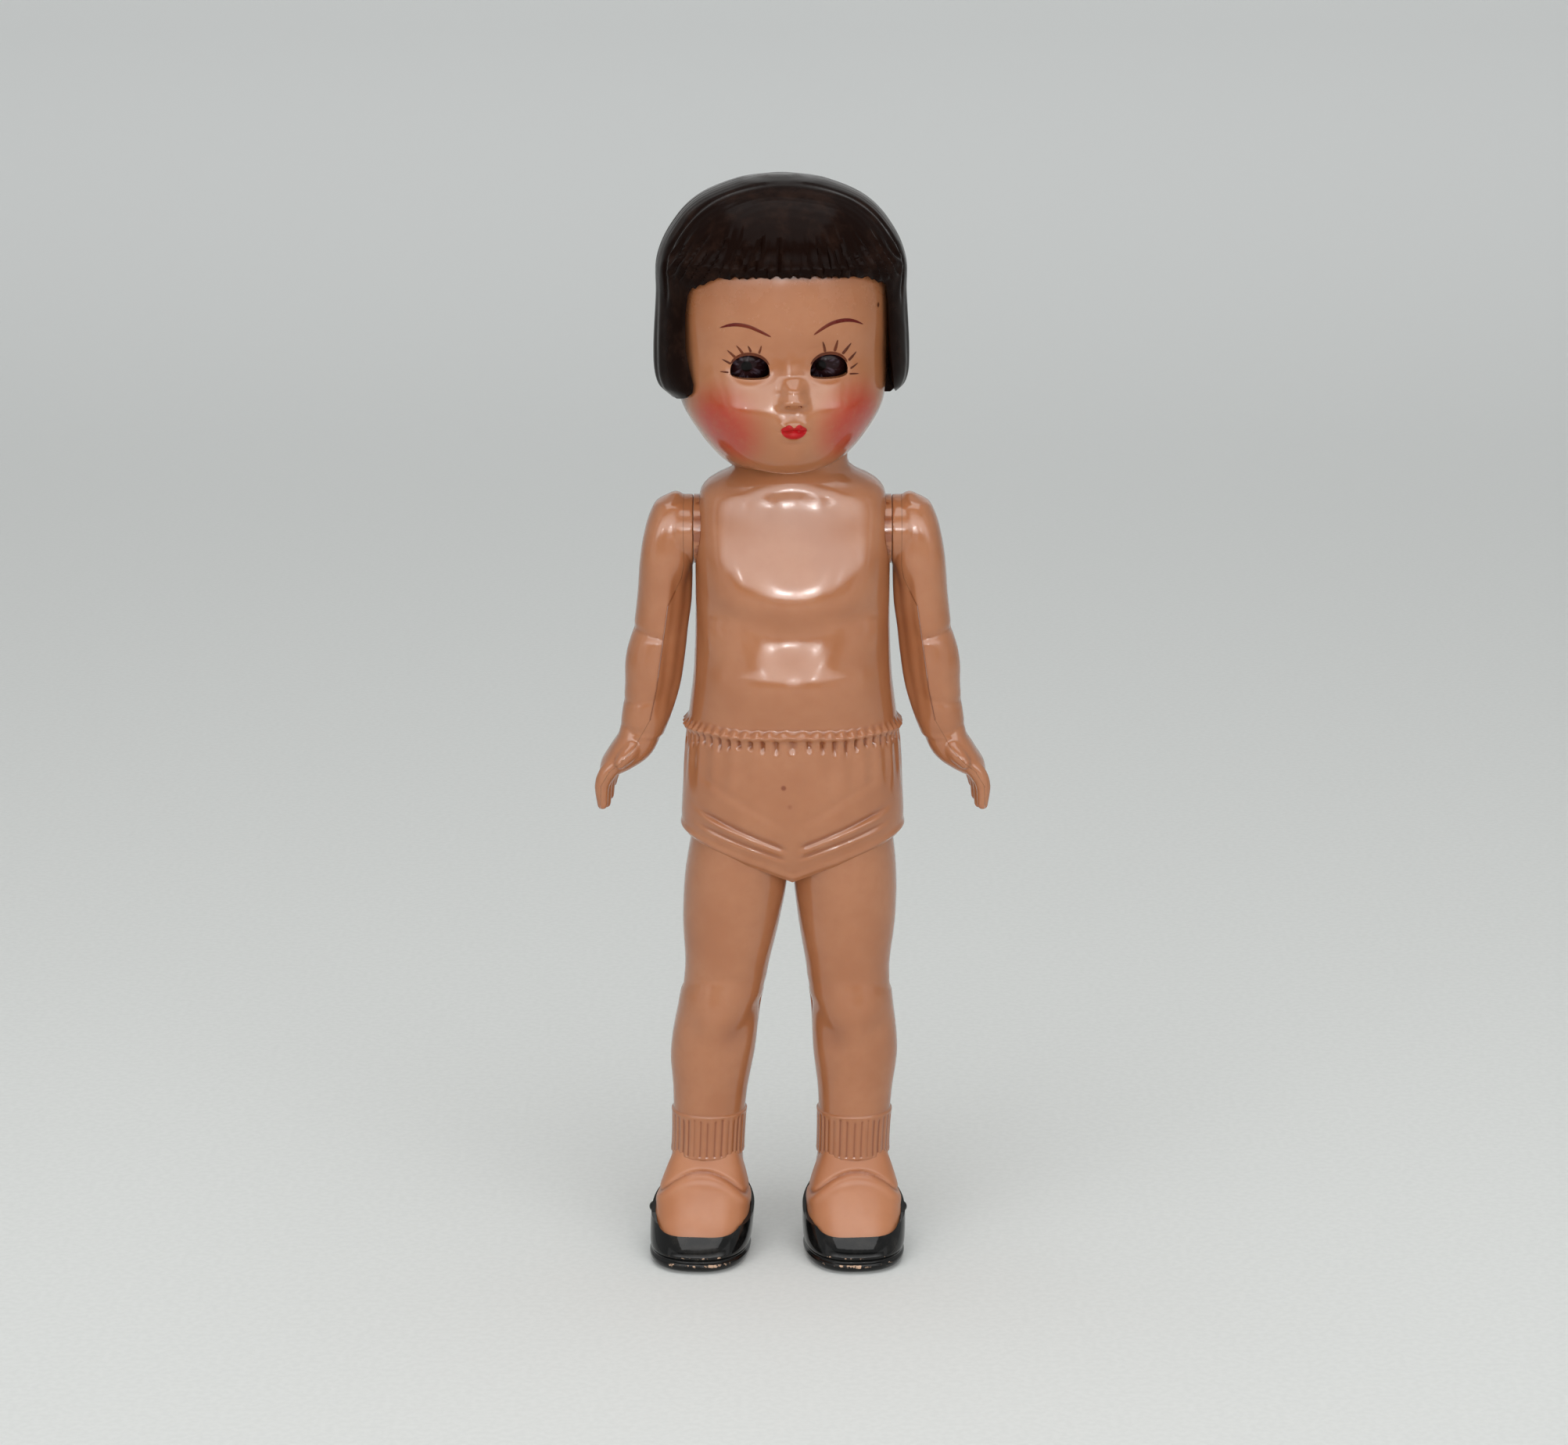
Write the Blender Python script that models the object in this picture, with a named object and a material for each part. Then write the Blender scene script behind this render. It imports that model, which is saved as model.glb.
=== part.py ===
"""Celluloid doll: a hollow two-part body, strung arms that swing, and weighted eyes that sleep."""

import math
from typing import NamedTuple

import bmesh
import bpy
from mathutils import Matrix, Vector

MM = 0.001


class Level(NamedTuple):
    """A horizontal section: height, half width, depth to front and back, squareness, place across."""

    height: float
    half_width: float
    front: float
    back: float
    square: float
    across: float


class FootLevel(NamedTuple):
    """A horizontal section of a foot: reach to toe and heel, half widths at ball and heel."""

    height: float
    toe: float
    heel: float
    ball: float
    heel_width: float


class HandLevel(NamedTuple):
    """A section across the hand: place across, height, half breadth and half thickness."""

    across: float
    height: float
    half_breadth: float
    half_thickness: float


def level(height, half_width, front, back, square=2.2, across=0.0):
    """A level from sizes in millimetres."""
    return Level(height * MM, half_width * MM, front * MM, back * MM, square, across * MM)


def foot_level(height, toe, heel, ball, heel_width):
    """A foot level from sizes in millimetres."""
    return FootLevel(height * MM, toe * MM, heel * MM, ball * MM, heel_width * MM)


def hand_level(across, rise, half_breadth, half_thickness):
    """A hand level at a rise from the shoulder line, from sizes in millimetres."""
    return HandLevel(across * MM, SHOULDER_HEIGHT + rise * MM, half_breadth * MM, half_thickness * MM)


def shoulder_level(rise, half_width, front, back, square=2.2, across=0.0):
    """A level at a rise from the shoulder line, from sizes in millimetres."""
    return level(SHOULDER_HEIGHT / MM + rise, half_width, front, back, square, across)


def torso_level(share, half_width, front, back, square=2.2):
    """A level at a share of the way up from the waist to the shoulder line, from sizes in millimetres."""
    height = WAIST_HEIGHT + share * (SHOULDER_HEIGHT - WAIST_HEIGHT)
    return level(height / MM, half_width, front, back, square)


# Main heights
WAIST_HEIGHT = 90.0 * MM
SHOULDER_HEIGHT = 121.3 * MM

# Walls and clearances
BODY_WALL = 1.5 * MM
HEAD_WALL = 2.0 * MM
ARM_WALL = 1.3 * MM
SEAM_GAP = 0.3 * MM
ARM_GAP = 0.35 * MM
EYE_GAP = 0.3 * MM
WIRE_GAP = 0.25 * MM

# Trunk, from the neck down to the fork of the legs
NECK_ROOT = shoulder_level(13.2, 8.8, 6.6, 7.2, 2.0)
NECK = shoulder_level(10.5, 9.3, 7.4, 7.8, 2.0)
COLLAR = shoulder_level(8.4, 13.2, 8.3, 8.5, 2.3)
SHOULDERS = shoulder_level(6.0, 14.9, 8.6, 9.0, 3.0)
ARMPITS = torso_level(0.94, 15.6, 10.5, 9.4, 3.2)
CHEST = torso_level(0.66, 15.7, 12.2, 9.2, 2.5)
RIBS = torso_level(0.5, 15.75, 11.5, 8.9, 2.4)
BELLY = torso_level(0.25, 16.1, 13.1, 9.2, 2.3)
WAIST = torso_level(0.0, 17.0, 12.5, 10.2, 2.3)
HIPS = level(78.0, 17.8, 12.1, 12.6, 2.3)
SEAT = level(72.5, 17.9, 11.3, 12.9, 2.3)
FORK = level(60.5, 16.6, 7.6, 9.0, 2.3)
TRUNK = (FORK, SEAT, HIPS, WAIST, BELLY, RIBS, CHEST, ARMPITS, SHOULDERS, COLLAR, NECK, NECK_ROOT)
TRUNK_SIDES = 32
TRUNK_RINGS = 19
TRUNK_ROOM_RINGS = 15

# Brief, moulded in relief on the trunk
BAND_HEIGHT = WAIST_HEIGHT - 0.4 * MM
BAND_PROUD = 0.55 * MM
BAND_ROLL = 0.9 * MM
FRILL_DROP = 2.3 * MM
GATHER_DEPTH = 0.35 * MM
GATHER_COUNT = 26
LEG_EDGE_SIDE_HEIGHT = 71.5 * MM
LEG_EDGE_FORK_HEIGHT = 64.3 * MM

# Legs, from inside the brief down to the ankle
GROIN = level(74.0, 7.6, 9.0, 9.6, 2.1, 8.4)
THIGH = level(64.0, 8.45, 8.9, 9.9, 2.1, 8.9)
MID_THIGH = level(56.0, 8.0, 8.0, 8.8, 2.1, 9.5)
ABOVE_KNEE = level(47.5, 6.85, 7.1, 7.4, 2.1, 10.05)
KNEE = level(42.0, 6.8, 7.2, 6.9, 2.1, 10.9)
CALF = level(33.5, 7.0, 6.5, 8.1, 2.1, 11.8)
SHIN = level(26.0, 6.15, 5.8, 7.0, 2.1, 12.05)
ANKLE = level(17.0, 5.8, 5.9, 6.2, 2.1, 12.1)
INSTEP = level(11.5, 6.3, 7.2, 6.4, 2.1, 12.25)
LEG = (INSTEP, ANKLE, SHIN, CALF, KNEE, ABOVE_KNEE, MID_THIGH, THIGH, GROIN)
LEG_SIDES = 20
LEG_RINGS = 16
LEG_HOLLOW_END = 28.0 * MM
LEG_SLANT = math.radians(2.1)
SLANT_START = 72.0 * MM

# Ribbed sock cuff
CUFF_TOP = 23.6 * MM
CUFF_BOTTOM = 15.3 * MM
CUFF_PROUD = 0.55 * MM
CUFF_RIB_DEPTH = 0.35 * MM
CUFF_RIBS = 20
CUFF_ROUND = 0.8 * MM

# Foot and the low shoe moulded on it
TOE_OUT = math.radians(5.0)
SOLE_FOOT = foot_level(0.0, 16.7, 7.2, 7.4, 5.6)
SOLE_EDGE = foot_level(0.6, 17.7, 7.9, 8.1, 6.2)
WELT = foot_level(1.5, 18.0, 8.0, 8.3, 6.4)
WELT_GROOVE = foot_level(1.9, 17.4, 7.7, 8.0, 6.2)
TOE_CAP = foot_level(2.8, 17.6, 8.0, 8.3, 6.5)
TOE_TOP = foot_level(4.6, 16.3, 8.1, 8.45, 6.7)
VAMP = foot_level(7.2, 13.4, 8.1, 8.5, 6.8)
QUARTER = foot_level(10.0, 10.6, 7.8, 8.2, 6.7)
TOP_LINE = foot_level(12.4, 8.7, 7.3, 7.5, 6.5)
ANKLE_FOOT = foot_level(17.0, 6.0, 6.2, 5.8, 5.6)
SHOE = (SOLE_FOOT, SOLE_EDGE, WELT, WELT_GROOVE, TOE_CAP, TOE_TOP, VAMP, QUARTER, TOP_LINE)
FOOT = (WELT, TOE_CAP, TOE_TOP, VAMP, QUARTER, TOP_LINE, ANKLE_FOOT)
SHOE_THICKNESS = 0.7 * MM
SHOE_RIM = 1.1 * MM
SHOE_MOUTH_FRONT = 15.5 * MM
SHOE_MOUTH_BACK = 4.0 * MM
SHOE_MOUTH_FLOOR = 3.4 * MM
STRAP_BUTTON_RADIUS = 0.9 * MM
STRAP_BUTTON_HEIGHT = 8.6 * MM
STRAP_BUTTON_BACK = -2.0 * MM
FOOT_SIDES = 20
FOOT_SQUARE = 2.5
BALL_SHARE = 0.36

# Head, turned a little to its left, in its own frame, which starts at the shoulder line
HEAD_TURN = math.radians(4.5)
HEAD_ASIDE = -1.8 * MM
THROAT = level(10.8, 8.2, 7.5, 7.4, 2.0)
CHIN = level(12.6, 10.3, 13.6, 9.3, 2.0)
JAW = level(15.9, 13.0, 16.0, 12.4, 2.2)
CHEEKS = level(20.7, 15.9, 17.3, 15.0, 2.25)
NOSE_LINE = level(25.2, 16.8, 17.2, 16.6, 2.2)
EYE_LINE = level(29.7, 17.1, 16.9, 17.4, 2.2)
BROW = level(35.7, 17.3, 17.4, 18.0, 2.2)
FOREHEAD = level(42.7, 17.0, 17.2, 18.0, 2.1)
CROWN = level(49.7, 13.6, 13.6, 15.0, 2.0)
SCALP = level(54.7, 6.0, 6.0, 7.0, 2.0)
HEAD = (THROAT, CHIN, JAW, CHEEKS, NOSE_LINE, EYE_LINE, BROW, FOREHEAD, CROWN, SCALP)
HEAD_SIDES = 32
FACE_RINGS = 15
CROWN_RINGS = 6
HEAD_ROOM_RINGS = 9
FACE_CROWDING = 0.65

# Face relief: bumps on the front of the head
FACE_MIDDLE = 0.6 * MM
NOSE_HEIGHT = 24.3 * MM
NOSE_PROUD = 2.1 * MM
NOSE_HALF_WIDTH = 2.0 * MM
NOSE_HALF_LENGTH = 2.1 * MM
BRIDGE_HEIGHT = 28.3 * MM
BRIDGE_PROUD = 0.5 * MM
BRIDGE_HALF_WIDTH = 1.9 * MM
CHEEK_ACROSS = 9.0 * MM
CHEEK_HEIGHT = 20.7 * MM
CHEEK_PROUD = 0.9 * MM
CHEEK_RADIUS = 4.2 * MM
LIP_HEIGHT = 19.3 * MM
LIP_PROUD = 0.9 * MM
LIP_HALF_WIDTH = 2.1 * MM
LIP_HALF_HEIGHT = 1.2 * MM
CHIN_BUMP_HEIGHT = 15.3 * MM
CHIN_PROUD = 0.8 * MM
CHIN_RADIUS = 2.8 * MM
SOCKET_DEPTH = 0.6 * MM
SOCKET_RADIUS = 3.4 * MM

# Moulded hair: a bob with a straight fringe
HAIR_HEM = level(22.1, 17.6, 14.0, 17.2, 2.2)
HAIR_CURL = level(24.1, 19.7, 15.2, 19.2, 2.2)
HAIR_SIDE = level(27.7, 20.4, 15.4, 19.2, 2.2)
HAIR_TEMPLE = level(38.7, 20.0, 16.6, 19.4, 2.1)
FRINGE = level(44.2, 19.8, 18.4, 19.1, 2.05)
HAIR_RISE = level(49.2, 17.6, 16.8, 17.4, 2.0)
HAIR_CROWN = level(53.7, 13.4, 12.5, 13.4, 2.0)
HAIR_TOP = level(56.4, 7.2, 6.8, 7.2, 2.0)
HAIR = (HAIR_HEM, HAIR_CURL, HAIR_SIDE, HAIR_TEMPLE, FRINGE, HAIR_RISE, HAIR_CROWN, HAIR_TOP)
HAIR_PEAK = 57.2 * MM
HAIR_SIDES = 32
HAIR_RINGS = 12
FACE_WINDOW_HALF_WIDTH = 15.8 * MM
FRINGE_EDGE_HEIGHT = 43.0 * MM
FACE_WINDOW_CORNER = 2.5 * MM

# Sleeping eyes, in the head's frame
EYE_HEIGHT = 29.3 * MM
EYE_ACROSS = 6.2 * MM
EYE_RADIUS = 4.2 * MM
EYE_SEAT = 1.1 * MM
EYE_WALL = 0.9 * MM
EYE_OPENING_WIDTH = 6.3 * MM
EYE_OPENING_TOP = 1.55 * MM
EYE_OPENING_BOTTOM = 2.25 * MM
EYE_CUP_BACK = 1.4 * MM
AXLE_RADIUS = 0.55 * MM
LEVER_DROP = 9.0 * MM
LEVER_BACK = 2.6 * MM
WEIGHT_RADIUS = 2.1 * MM
WEIGHT_LENGTH = 5.0 * MM
WEIGHT_SOCKET = 2.4 * MM
LUG_THICKNESS = 1.2 * MM
LUG_HALF_HEIGHT = 1.7 * MM
LUG_DEPTH = 2.2 * MM
EYE_SIDES = 16

# Arms, hung at the shoulder, on the doll's left and mirrored for the right
SHOULDER_SEAT_PROUD = 0.1 * MM
BOSS_RADIUS = 5.9 * MM
BOSS_DEPTH = 2.6 * MM
ARM_TOP = shoulder_level(6.0, 0.6, 1.2, 1.2, 2.0, 18.8)
ARM_ROUND = shoulder_level(4.3, 2.9, 4.2, 4.2, 2.3, 19.3)
UPPER_ARM = shoulder_level(-2.3, 4.1, 5.6, 5.6, 2.7, 20.2)
MID_ARM = shoulder_level(-11.3, 4.45, 5.3, 5.3, 2.2, 20.75)
ABOVE_ELBOW = shoulder_level(-16.3, 4.45, 5.0, 4.9, 2.2, 21.4)
ELBOW = shoulder_level(-20.0, 4.75, 5.0, 5.2, 2.2, 22.1)
FOREARM = shoulder_level(-25.8, 4.5, 4.8, 4.7, 2.2, 22.75)
LOW_FOREARM = shoulder_level(-30.8, 4.05, 4.4, 4.3, 2.2, 23.8)
WRIST = shoulder_level(-34.1, 3.65, 4.0, 3.9, 2.1, 24.7)
ARM = (WRIST, LOW_FOREARM, FOREARM, ELBOW, ABOVE_ELBOW, MID_ARM, UPPER_ARM, ARM_ROUND, ARM_TOP)
ARM_SIDES = 16
ARM_RINGS = 13
ARM_HOLLOW_TOP = SHOULDER_HEIGHT + 3.7 * MM
ARM_HOLLOW_END = SHOULDER_HEIGHT - 30.3 * MM

# Hand, bent outwards at the wrist with the fingers drooping
HAND_ROOT = hand_level(24.5, -32.7, 3.6, 3.4)
HEEL_OF_HAND = hand_level(25.6, -35.4, 4.0, 3.2)
PALM = hand_level(27.7, -37.6, 4.4, 2.6)
KNUCKLES = hand_level(29.8, -39.5, 4.3, 2.0)
HAND = (HAND_ROOT, HEEL_OF_HAND, PALM, KNUCKLES)
HAND_SIDES = 12
FINGER_SPACING = 2.15 * MM
FINGER_RADIUS = 1.25 * MM
FINGER_TIP_RADIUS = 0.9 * MM
FINGER_BEND_ACROSS = 31.2 * MM
FINGER_BEND_HEIGHT = SHOULDER_HEIGHT - 41.9 * MM
FINGER_TIP_ACROSS = FINGER_BEND_ACROSS + 0.2 * MM
FINGER_TIP_HEIGHTS = tuple(SHOULDER_HEIGHT - drop * MM for drop in (46.1, 46.4, 45.8, 44.4))
THUMB_RADIUS = 1.35 * MM
THUMB_TIP_ACROSS = 28.3 * MM
THUMB_TIP_HEIGHT = SHOULDER_HEIGHT - 38.3 * MM
THUMB_FRONT = 4.9 * MM
FINGER_SIDES = 6

# Parting line of the arm halves, from the shoulder to the fingertips: across and height
SHOULDER_PARTING = 17.5 * MM
ARM_PARTING_SHIFT = -0.7 * MM
PARTING_STEP_HEIGHT = SHOULDER_HEIGHT - 6.8 * MM

# Elastic between the arms
ELASTIC_RADIUS = 0.9 * MM
ELASTIC_GAP = 0.4 * MM
KNOT_RADIUS = 1.9 * MM
KNOT_LENGTH = 2.8 * MM
KNOT_GAP = 0.3 * MM
ELASTIC_SIDES = 12

# Finishes: colour, roughness and metallic value
FLESH = ((0.72, 0.40, 0.26), 0.28, 0.0)
EYE_BROWN = ((0.05, 0.02, 0.02), 0.12, 0.0)
STEEL = ((0.55, 0.55, 0.56), 0.35, 1.0)
LEAD = ((0.22, 0.22, 0.24), 0.6, 1.0)
RUBBER = ((0.62, 0.56, 0.45), 0.8, 0.0)


def clear_scene():
    for old in list(bpy.data.objects):
        bpy.data.objects.remove(old, do_unlink=True)


def finish(part, finish_values):
    """Gives a piece its own material and smooth shading."""
    colour, roughness, metallic = finish_values
    material = bpy.data.materials.new(part.name)
    material.use_nodes = True
    shader = material.node_tree.nodes["Principled BSDF"]
    shader.inputs["Base Color"].default_value = (*colour, 1.0)
    shader.inputs["Roughness"].default_value = roughness
    shader.inputs["Metallic"].default_value = metallic
    part.data.materials.clear()
    part.data.materials.append(material)
    part.data.shade_smooth()
    part.data.set_sharp_from_angle(angle=math.radians(35.0))


def object_from(name, mesh_builder):
    """A linked object from a finished bmesh, with its faces pointing out."""
    bmesh.ops.recalc_face_normals(mesh_builder, faces=mesh_builder.faces)
    mesh = bpy.data.meshes.new(name)
    mesh_builder.to_mesh(mesh)
    mesh_builder.free()
    made = bpy.data.objects.new(name, mesh)
    bpy.context.scene.collection.objects.link(made)
    return made


def combine(target, tool, operation):
    """Joins two solids, cuts the second from the first or keeps what they share, and removes the second."""
    modifier = target.modifiers.new(operation.title(), "BOOLEAN")
    modifier.operation = operation
    modifier.solver = "MANIFOLD"
    modifier.object = tool
    bpy.context.view_layer.objects.active = target
    bpy.ops.object.modifier_apply(modifier=modifier.name)
    bpy.data.objects.remove(tool, do_unlink=True)


def join(target, *tools):
    for tool in tools:
        combine(target, tool, "UNION")


def cut(target, *tools):
    for tool in tools:
        combine(target, tool, "DIFFERENCE")


def copy_of(source, name):
    made = source.copy()
    made.data = source.data.copy()
    made.name = name
    bpy.context.scene.collection.objects.link(made)
    return made


def turned(part, matrix):
    """Moves a solid's own mesh, turning its faces round again where it is mirrored."""
    part.data.transform(matrix)
    if matrix.determinant() < 0:
        part.data.flip_normals()
    return part


def mirrored(part, name):
    return turned(copy_of(part, name), Matrix.Scale(-1.0, 4, Vector((1.0, 0.0, 0.0))))


def loft(name, rings):
    """A closed solid through rings of equal count, with both ends drawn to a middle point."""
    builder = bmesh.new()
    rows = [[builder.verts.new(point) for point in ring] for ring in rings]
    for low, high in zip(rows, rows[1:]):
        for j, corner in enumerate(low):
            k = (j + 1) % len(low)
            builder.faces.new((corner, low[k], high[k], high[j]))
    for row in (rows[0], rows[-1]):
        middle = sum((vert.co for vert in row), Vector()) / len(row)
        pole = builder.verts.new(middle)
        for j, corner in enumerate(row):
            builder.faces.new((corner, row[(j + 1) % len(row)], pole))
    return object_from(name, builder)


def prism(name, outline, start, stop):
    """A straight solid of an outline in X and Z, from one depth to another."""
    builder = bmesh.new()
    near = [builder.verts.new((x, start, z)) for x, z in outline]
    face = builder.faces.new(near)
    moved = bmesh.ops.extrude_face_region(builder, geom=[face])["geom"]
    verts = [item for item in moved if isinstance(item, bmesh.types.BMVert)]
    bmesh.ops.translate(builder, verts=verts, vec=(0.0, stop - start, 0.0))
    return object_from(name, builder)


def block(name, low, high):
    outline = ((low[0], low[2]), (high[0], low[2]), (high[0], high[2]), (low[0], high[2]))
    return prism(name, outline, low[1], high[1])


def turned_solid(name, profile, sides):
    """A solid turned about X from a profile of places along X and radii, both ends on the axis."""
    middle = profile[1:-1]
    rings = [
        [
            Vector((x, radius * math.cos(angle), radius * math.sin(angle)))
            for angle in (2 * math.pi * j / sides for j in range(sides))
        ]
        for x, radius in middle
    ]
    return loft(name, rings)


def rod(name, start, stop, radius, sides):
    """A round bar between two points."""
    start = Vector(start)
    run = Vector(stop) - start
    profile = ((0.0, 0.0), (0.0, radius), (run.length, radius), (run.length, 0.0))
    made = turned_solid(name, profile, sides)
    turn = Vector((1.0, 0.0, 0.0)).rotation_difference(run).to_matrix().to_4x4()
    return turned(made, Matrix.Translation(start) @ turn)


def ball(name, centre, radius, sides):
    builder = bmesh.new()
    bmesh.ops.create_uvsphere(builder, u_segments=sides, v_segments=sides // 2 + 2, radius=radius)
    bmesh.ops.translate(builder, verts=builder.verts, vec=centre)
    return object_from(name, builder)


def smooth_section(sections, height, key=0):
    """The section at a height, on a smooth curve through the given ones, which run upwards."""
    heights = [section[key] for section in sections]
    last = len(sections) - 1
    i = max(0, min(last - 1, sum(h <= height for h in heights) - 1))
    span = heights[i + 1] - heights[i]
    t = min(1.0, max(0.0, (height - heights[i]) / span))

    def slope(n, field):
        low, high = max(0, n - 1), min(last, n + 1)
        return (sections[high][field] - sections[low][field]) / (heights[high] - heights[low])

    def value(field):
        a, b = sections[i][field], sections[i + 1][field]
        ease = t * t * (3.0 - 2.0 * t)
        start_pull = t * (1.0 - t) ** 2 * span * slope(i, field)
        end_pull = t * t * (t - 1.0) * span * slope(i + 1, field)
        return a + (b - a) * ease + start_pull + end_pull

    return type(sections[0])(*(value(field) for field in range(len(sections[0]))))


def spread(start, stop, count):
    return [start + (stop - start) * i / (count - 1) for i in range(count)]


def power_of(value, exponent):
    return math.copysign(abs(value) ** exponent, value)


def level_ring(section, sides, inset=0.0, swell=None, crowding=0.0):
    """Points round a level, as a rounded oblong; swell adds reach, crowding gathers points in front."""
    points = []
    exponent = 2.0 / section.square
    for j in range(sides):
        turn = j / sides
        turn += crowding * math.sin(4 * math.pi * turn) / (4 * math.pi) if turn > 0.5 else 0.0
        angle = 2 * math.pi * turn
        c, s = math.cos(angle), math.sin(angle)
        reach = (swell(j) if swell else 0.0) - inset
        x = (section.half_width + reach) * power_of(c, exponent)
        depth = section.back if s > 0 else section.front
        y = (depth + reach) * power_of(s, exponent)
        points.append(Vector((section.across + x, y, section.height)))
    return points


def level_loft(name, levels, sides, rings, inset=0.0, low=None, high=None, crowding=0.0):
    low = levels[0].height if low is None else low
    high = levels[-1].height if high is None else high
    sections = [smooth_section(levels, height) for height in spread(low, high, rings)]
    return loft(name, [level_ring(section, sides, inset, None, crowding) for section in sections])


def trunk():
    """Neck, chest, flat shoulder seats, belly and brief; the brief's leg edges are cut in a V."""
    made = level_loft("trunk", TRUNK, TRUNK_SIDES, TRUNK_RINGS)
    seat = boss_face() - ARM_GAP
    start, stop = Vector((-seat, 0.0, SHOULDER_HEIGHT)), Vector((seat, 0.0, SHOULDER_HEIGHT))
    join(made, rod("shoulder seats", start, stop, BOSS_RADIUS, LEG_SIDES))
    reach = 2 * HIPS.half_width
    rise = LEG_EDGE_SIDE_HEIGHT - LEG_EDGE_FORK_HEIGHT
    far_height = LEG_EDGE_FORK_HEIGHT + rise * reach / HIPS.half_width
    floor = FORK.height - BODY_WALL
    for side in (-1, 1):
        far = side * reach
        outline = ((0.0, floor), (far, floor), (far, far_height), (0.0, LEG_EDGE_FORK_HEIGHT))
        cut(made, prism("leg edge", outline, -reach, reach))
    return made


def waistband():
    """The rolled top edge of the brief, with its gathers below."""
    sides = 2 * GATHER_COUNT
    heights = (
        (BAND_HEIGHT + BAND_ROLL, -BODY_WALL / 2, 0.0),
        (BAND_HEIGHT + BAND_ROLL / 2, BAND_PROUD * 0.8, 0.0),
        (BAND_HEIGHT - BAND_ROLL / 4, BAND_PROUD, 0.0),
        (BAND_HEIGHT - BAND_ROLL, BAND_PROUD * 0.6, GATHER_DEPTH),
        (BAND_HEIGHT - BAND_ROLL - FRILL_DROP, -BODY_WALL / 2, 0.0),
    )
    rings = []
    for height, proud, depth in reversed(heights):
        section = smooth_section(TRUNK, height)
        rings.append(level_ring(section, sides, 0.0, lambda j: proud - depth * (j % 2)))
    return loft("waistband", rings)


def leg():
    return level_loft("leg", LEG, LEG_SIDES, LEG_RINGS)


def cuff():
    """The ribbed top of the sock."""
    sides = 2 * CUFF_RIBS
    heights = (
        (CUFF_BOTTOM, -CUFF_PROUD, 0.0),
        (CUFF_BOTTOM + CUFF_ROUND / 2, CUFF_PROUD, CUFF_RIB_DEPTH),
        (CUFF_TOP - CUFF_ROUND, CUFF_PROUD, CUFF_RIB_DEPTH),
        (CUFF_TOP - CUFF_ROUND / 4, CUFF_PROUD * 0.8, 0.0),
        (CUFF_TOP, -CUFF_PROUD, 0.0),
    )
    rings = []
    for height, proud, depth in heights:
        section = smooth_section(LEG, height)
        rings.append(level_ring(section, sides, 0.0, lambda j: proud - depth * (j % 2)))
    return loft("cuff", rings)


def foot_ring(section, inset=0.0):
    """Points round a foot level: wide at the ball, narrower at the heel."""
    points = []
    exponent = 2.0 / FOOT_SQUARE
    widest = BALL_SHARE * section.toe
    for j in range(FOOT_SIDES):
        angle = 2 * math.pi * j / FOOT_SIDES
        c, s = math.cos(angle), math.sin(angle)
        reach = section.heel + widest if s > 0 else section.toe - widest
        along = power_of(s, exponent)
        taper = max(0.0, along) ** 2 * (3.0 - 2.0 * max(0.0, along))
        width = section.ball + (section.heel_width - section.ball) * taper - inset
        x, y = width * power_of(c, exponent), (reach - inset) * along - widest
        points.append(Vector((x, y, section.height)))
    return points


def foot_place():
    """From the foot's own frame to the doll's left ankle, toes turned out."""
    return Matrix.Translation((ANKLE.across, 0.0, 0.0)) @ Matrix.Rotation(TOE_OUT, 4, "Z")


def foot():
    return turned(loft("foot", [foot_ring(section, SHOE_THICKNESS) for section in FOOT]), foot_place())


def shoe():
    """A low shoe with a deep U mouth and a strap button on its outer side."""
    made = loft("shoe", [foot_ring(section) for section in SHOE])
    mouth_rings = []
    for height in (SHOE_MOUTH_FLOOR, VAMP.height, TOP_LINE.height + SHOE_RIM):
        ring = foot_ring(VAMP._replace(height=height), SHOE_RIM)
        for point in ring:
            scale = SHOE_MOUTH_FRONT / (VAMP.toe - SHOE_RIM) if point.y < 0 else 1.0
            point.y = min(point.y * scale, SHOE_MOUTH_BACK)
        mouth_rings.append(ring)
    cut(made, loft("mouth", mouth_rings))
    side = smooth_section(SHOE, STRAP_BUTTON_HEIGHT).ball
    place = Vector((side - STRAP_BUTTON_RADIUS / 3, STRAP_BUTTON_BACK, STRAP_BUTTON_HEIGHT))
    join(made, ball("button", place, STRAP_BUTTON_RADIUS, FINGER_SIDES))
    return turned(made, foot_place())


def bump(point, across, height, half_width, half_height):
    """A soft bump's share at a point on the face, one at its middle."""
    return math.exp(-(((point.x - across) / half_width) ** 2) - ((point.z - height) / half_height) ** 2)


def face_relief(point):
    """How far the face stands forward of the plain head here."""
    relief = NOSE_PROUD * bump(point, FACE_MIDDLE, NOSE_HEIGHT, NOSE_HALF_WIDTH, NOSE_HALF_LENGTH)
    relief += BRIDGE_PROUD * bump(point, FACE_MIDDLE, BRIDGE_HEIGHT, BRIDGE_HALF_WIDTH, 2 * BRIDGE_HALF_WIDTH)
    relief += LIP_PROUD * bump(point, FACE_MIDDLE, LIP_HEIGHT, LIP_HALF_WIDTH, LIP_HALF_HEIGHT)
    relief += CHIN_PROUD * bump(point, FACE_MIDDLE, CHIN_BUMP_HEIGHT, CHIN_RADIUS, CHIN_RADIUS)
    for side in (-1, 1):
        relief += CHEEK_PROUD * bump(point, side * CHEEK_ACROSS, CHEEK_HEIGHT, CHEEK_RADIUS, CHEEK_RADIUS)
        relief -= SOCKET_DEPTH * bump(point, side * EYE_ACROSS, EYE_HEIGHT, SOCKET_RADIUS, SOCKET_RADIUS)
    return relief


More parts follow.
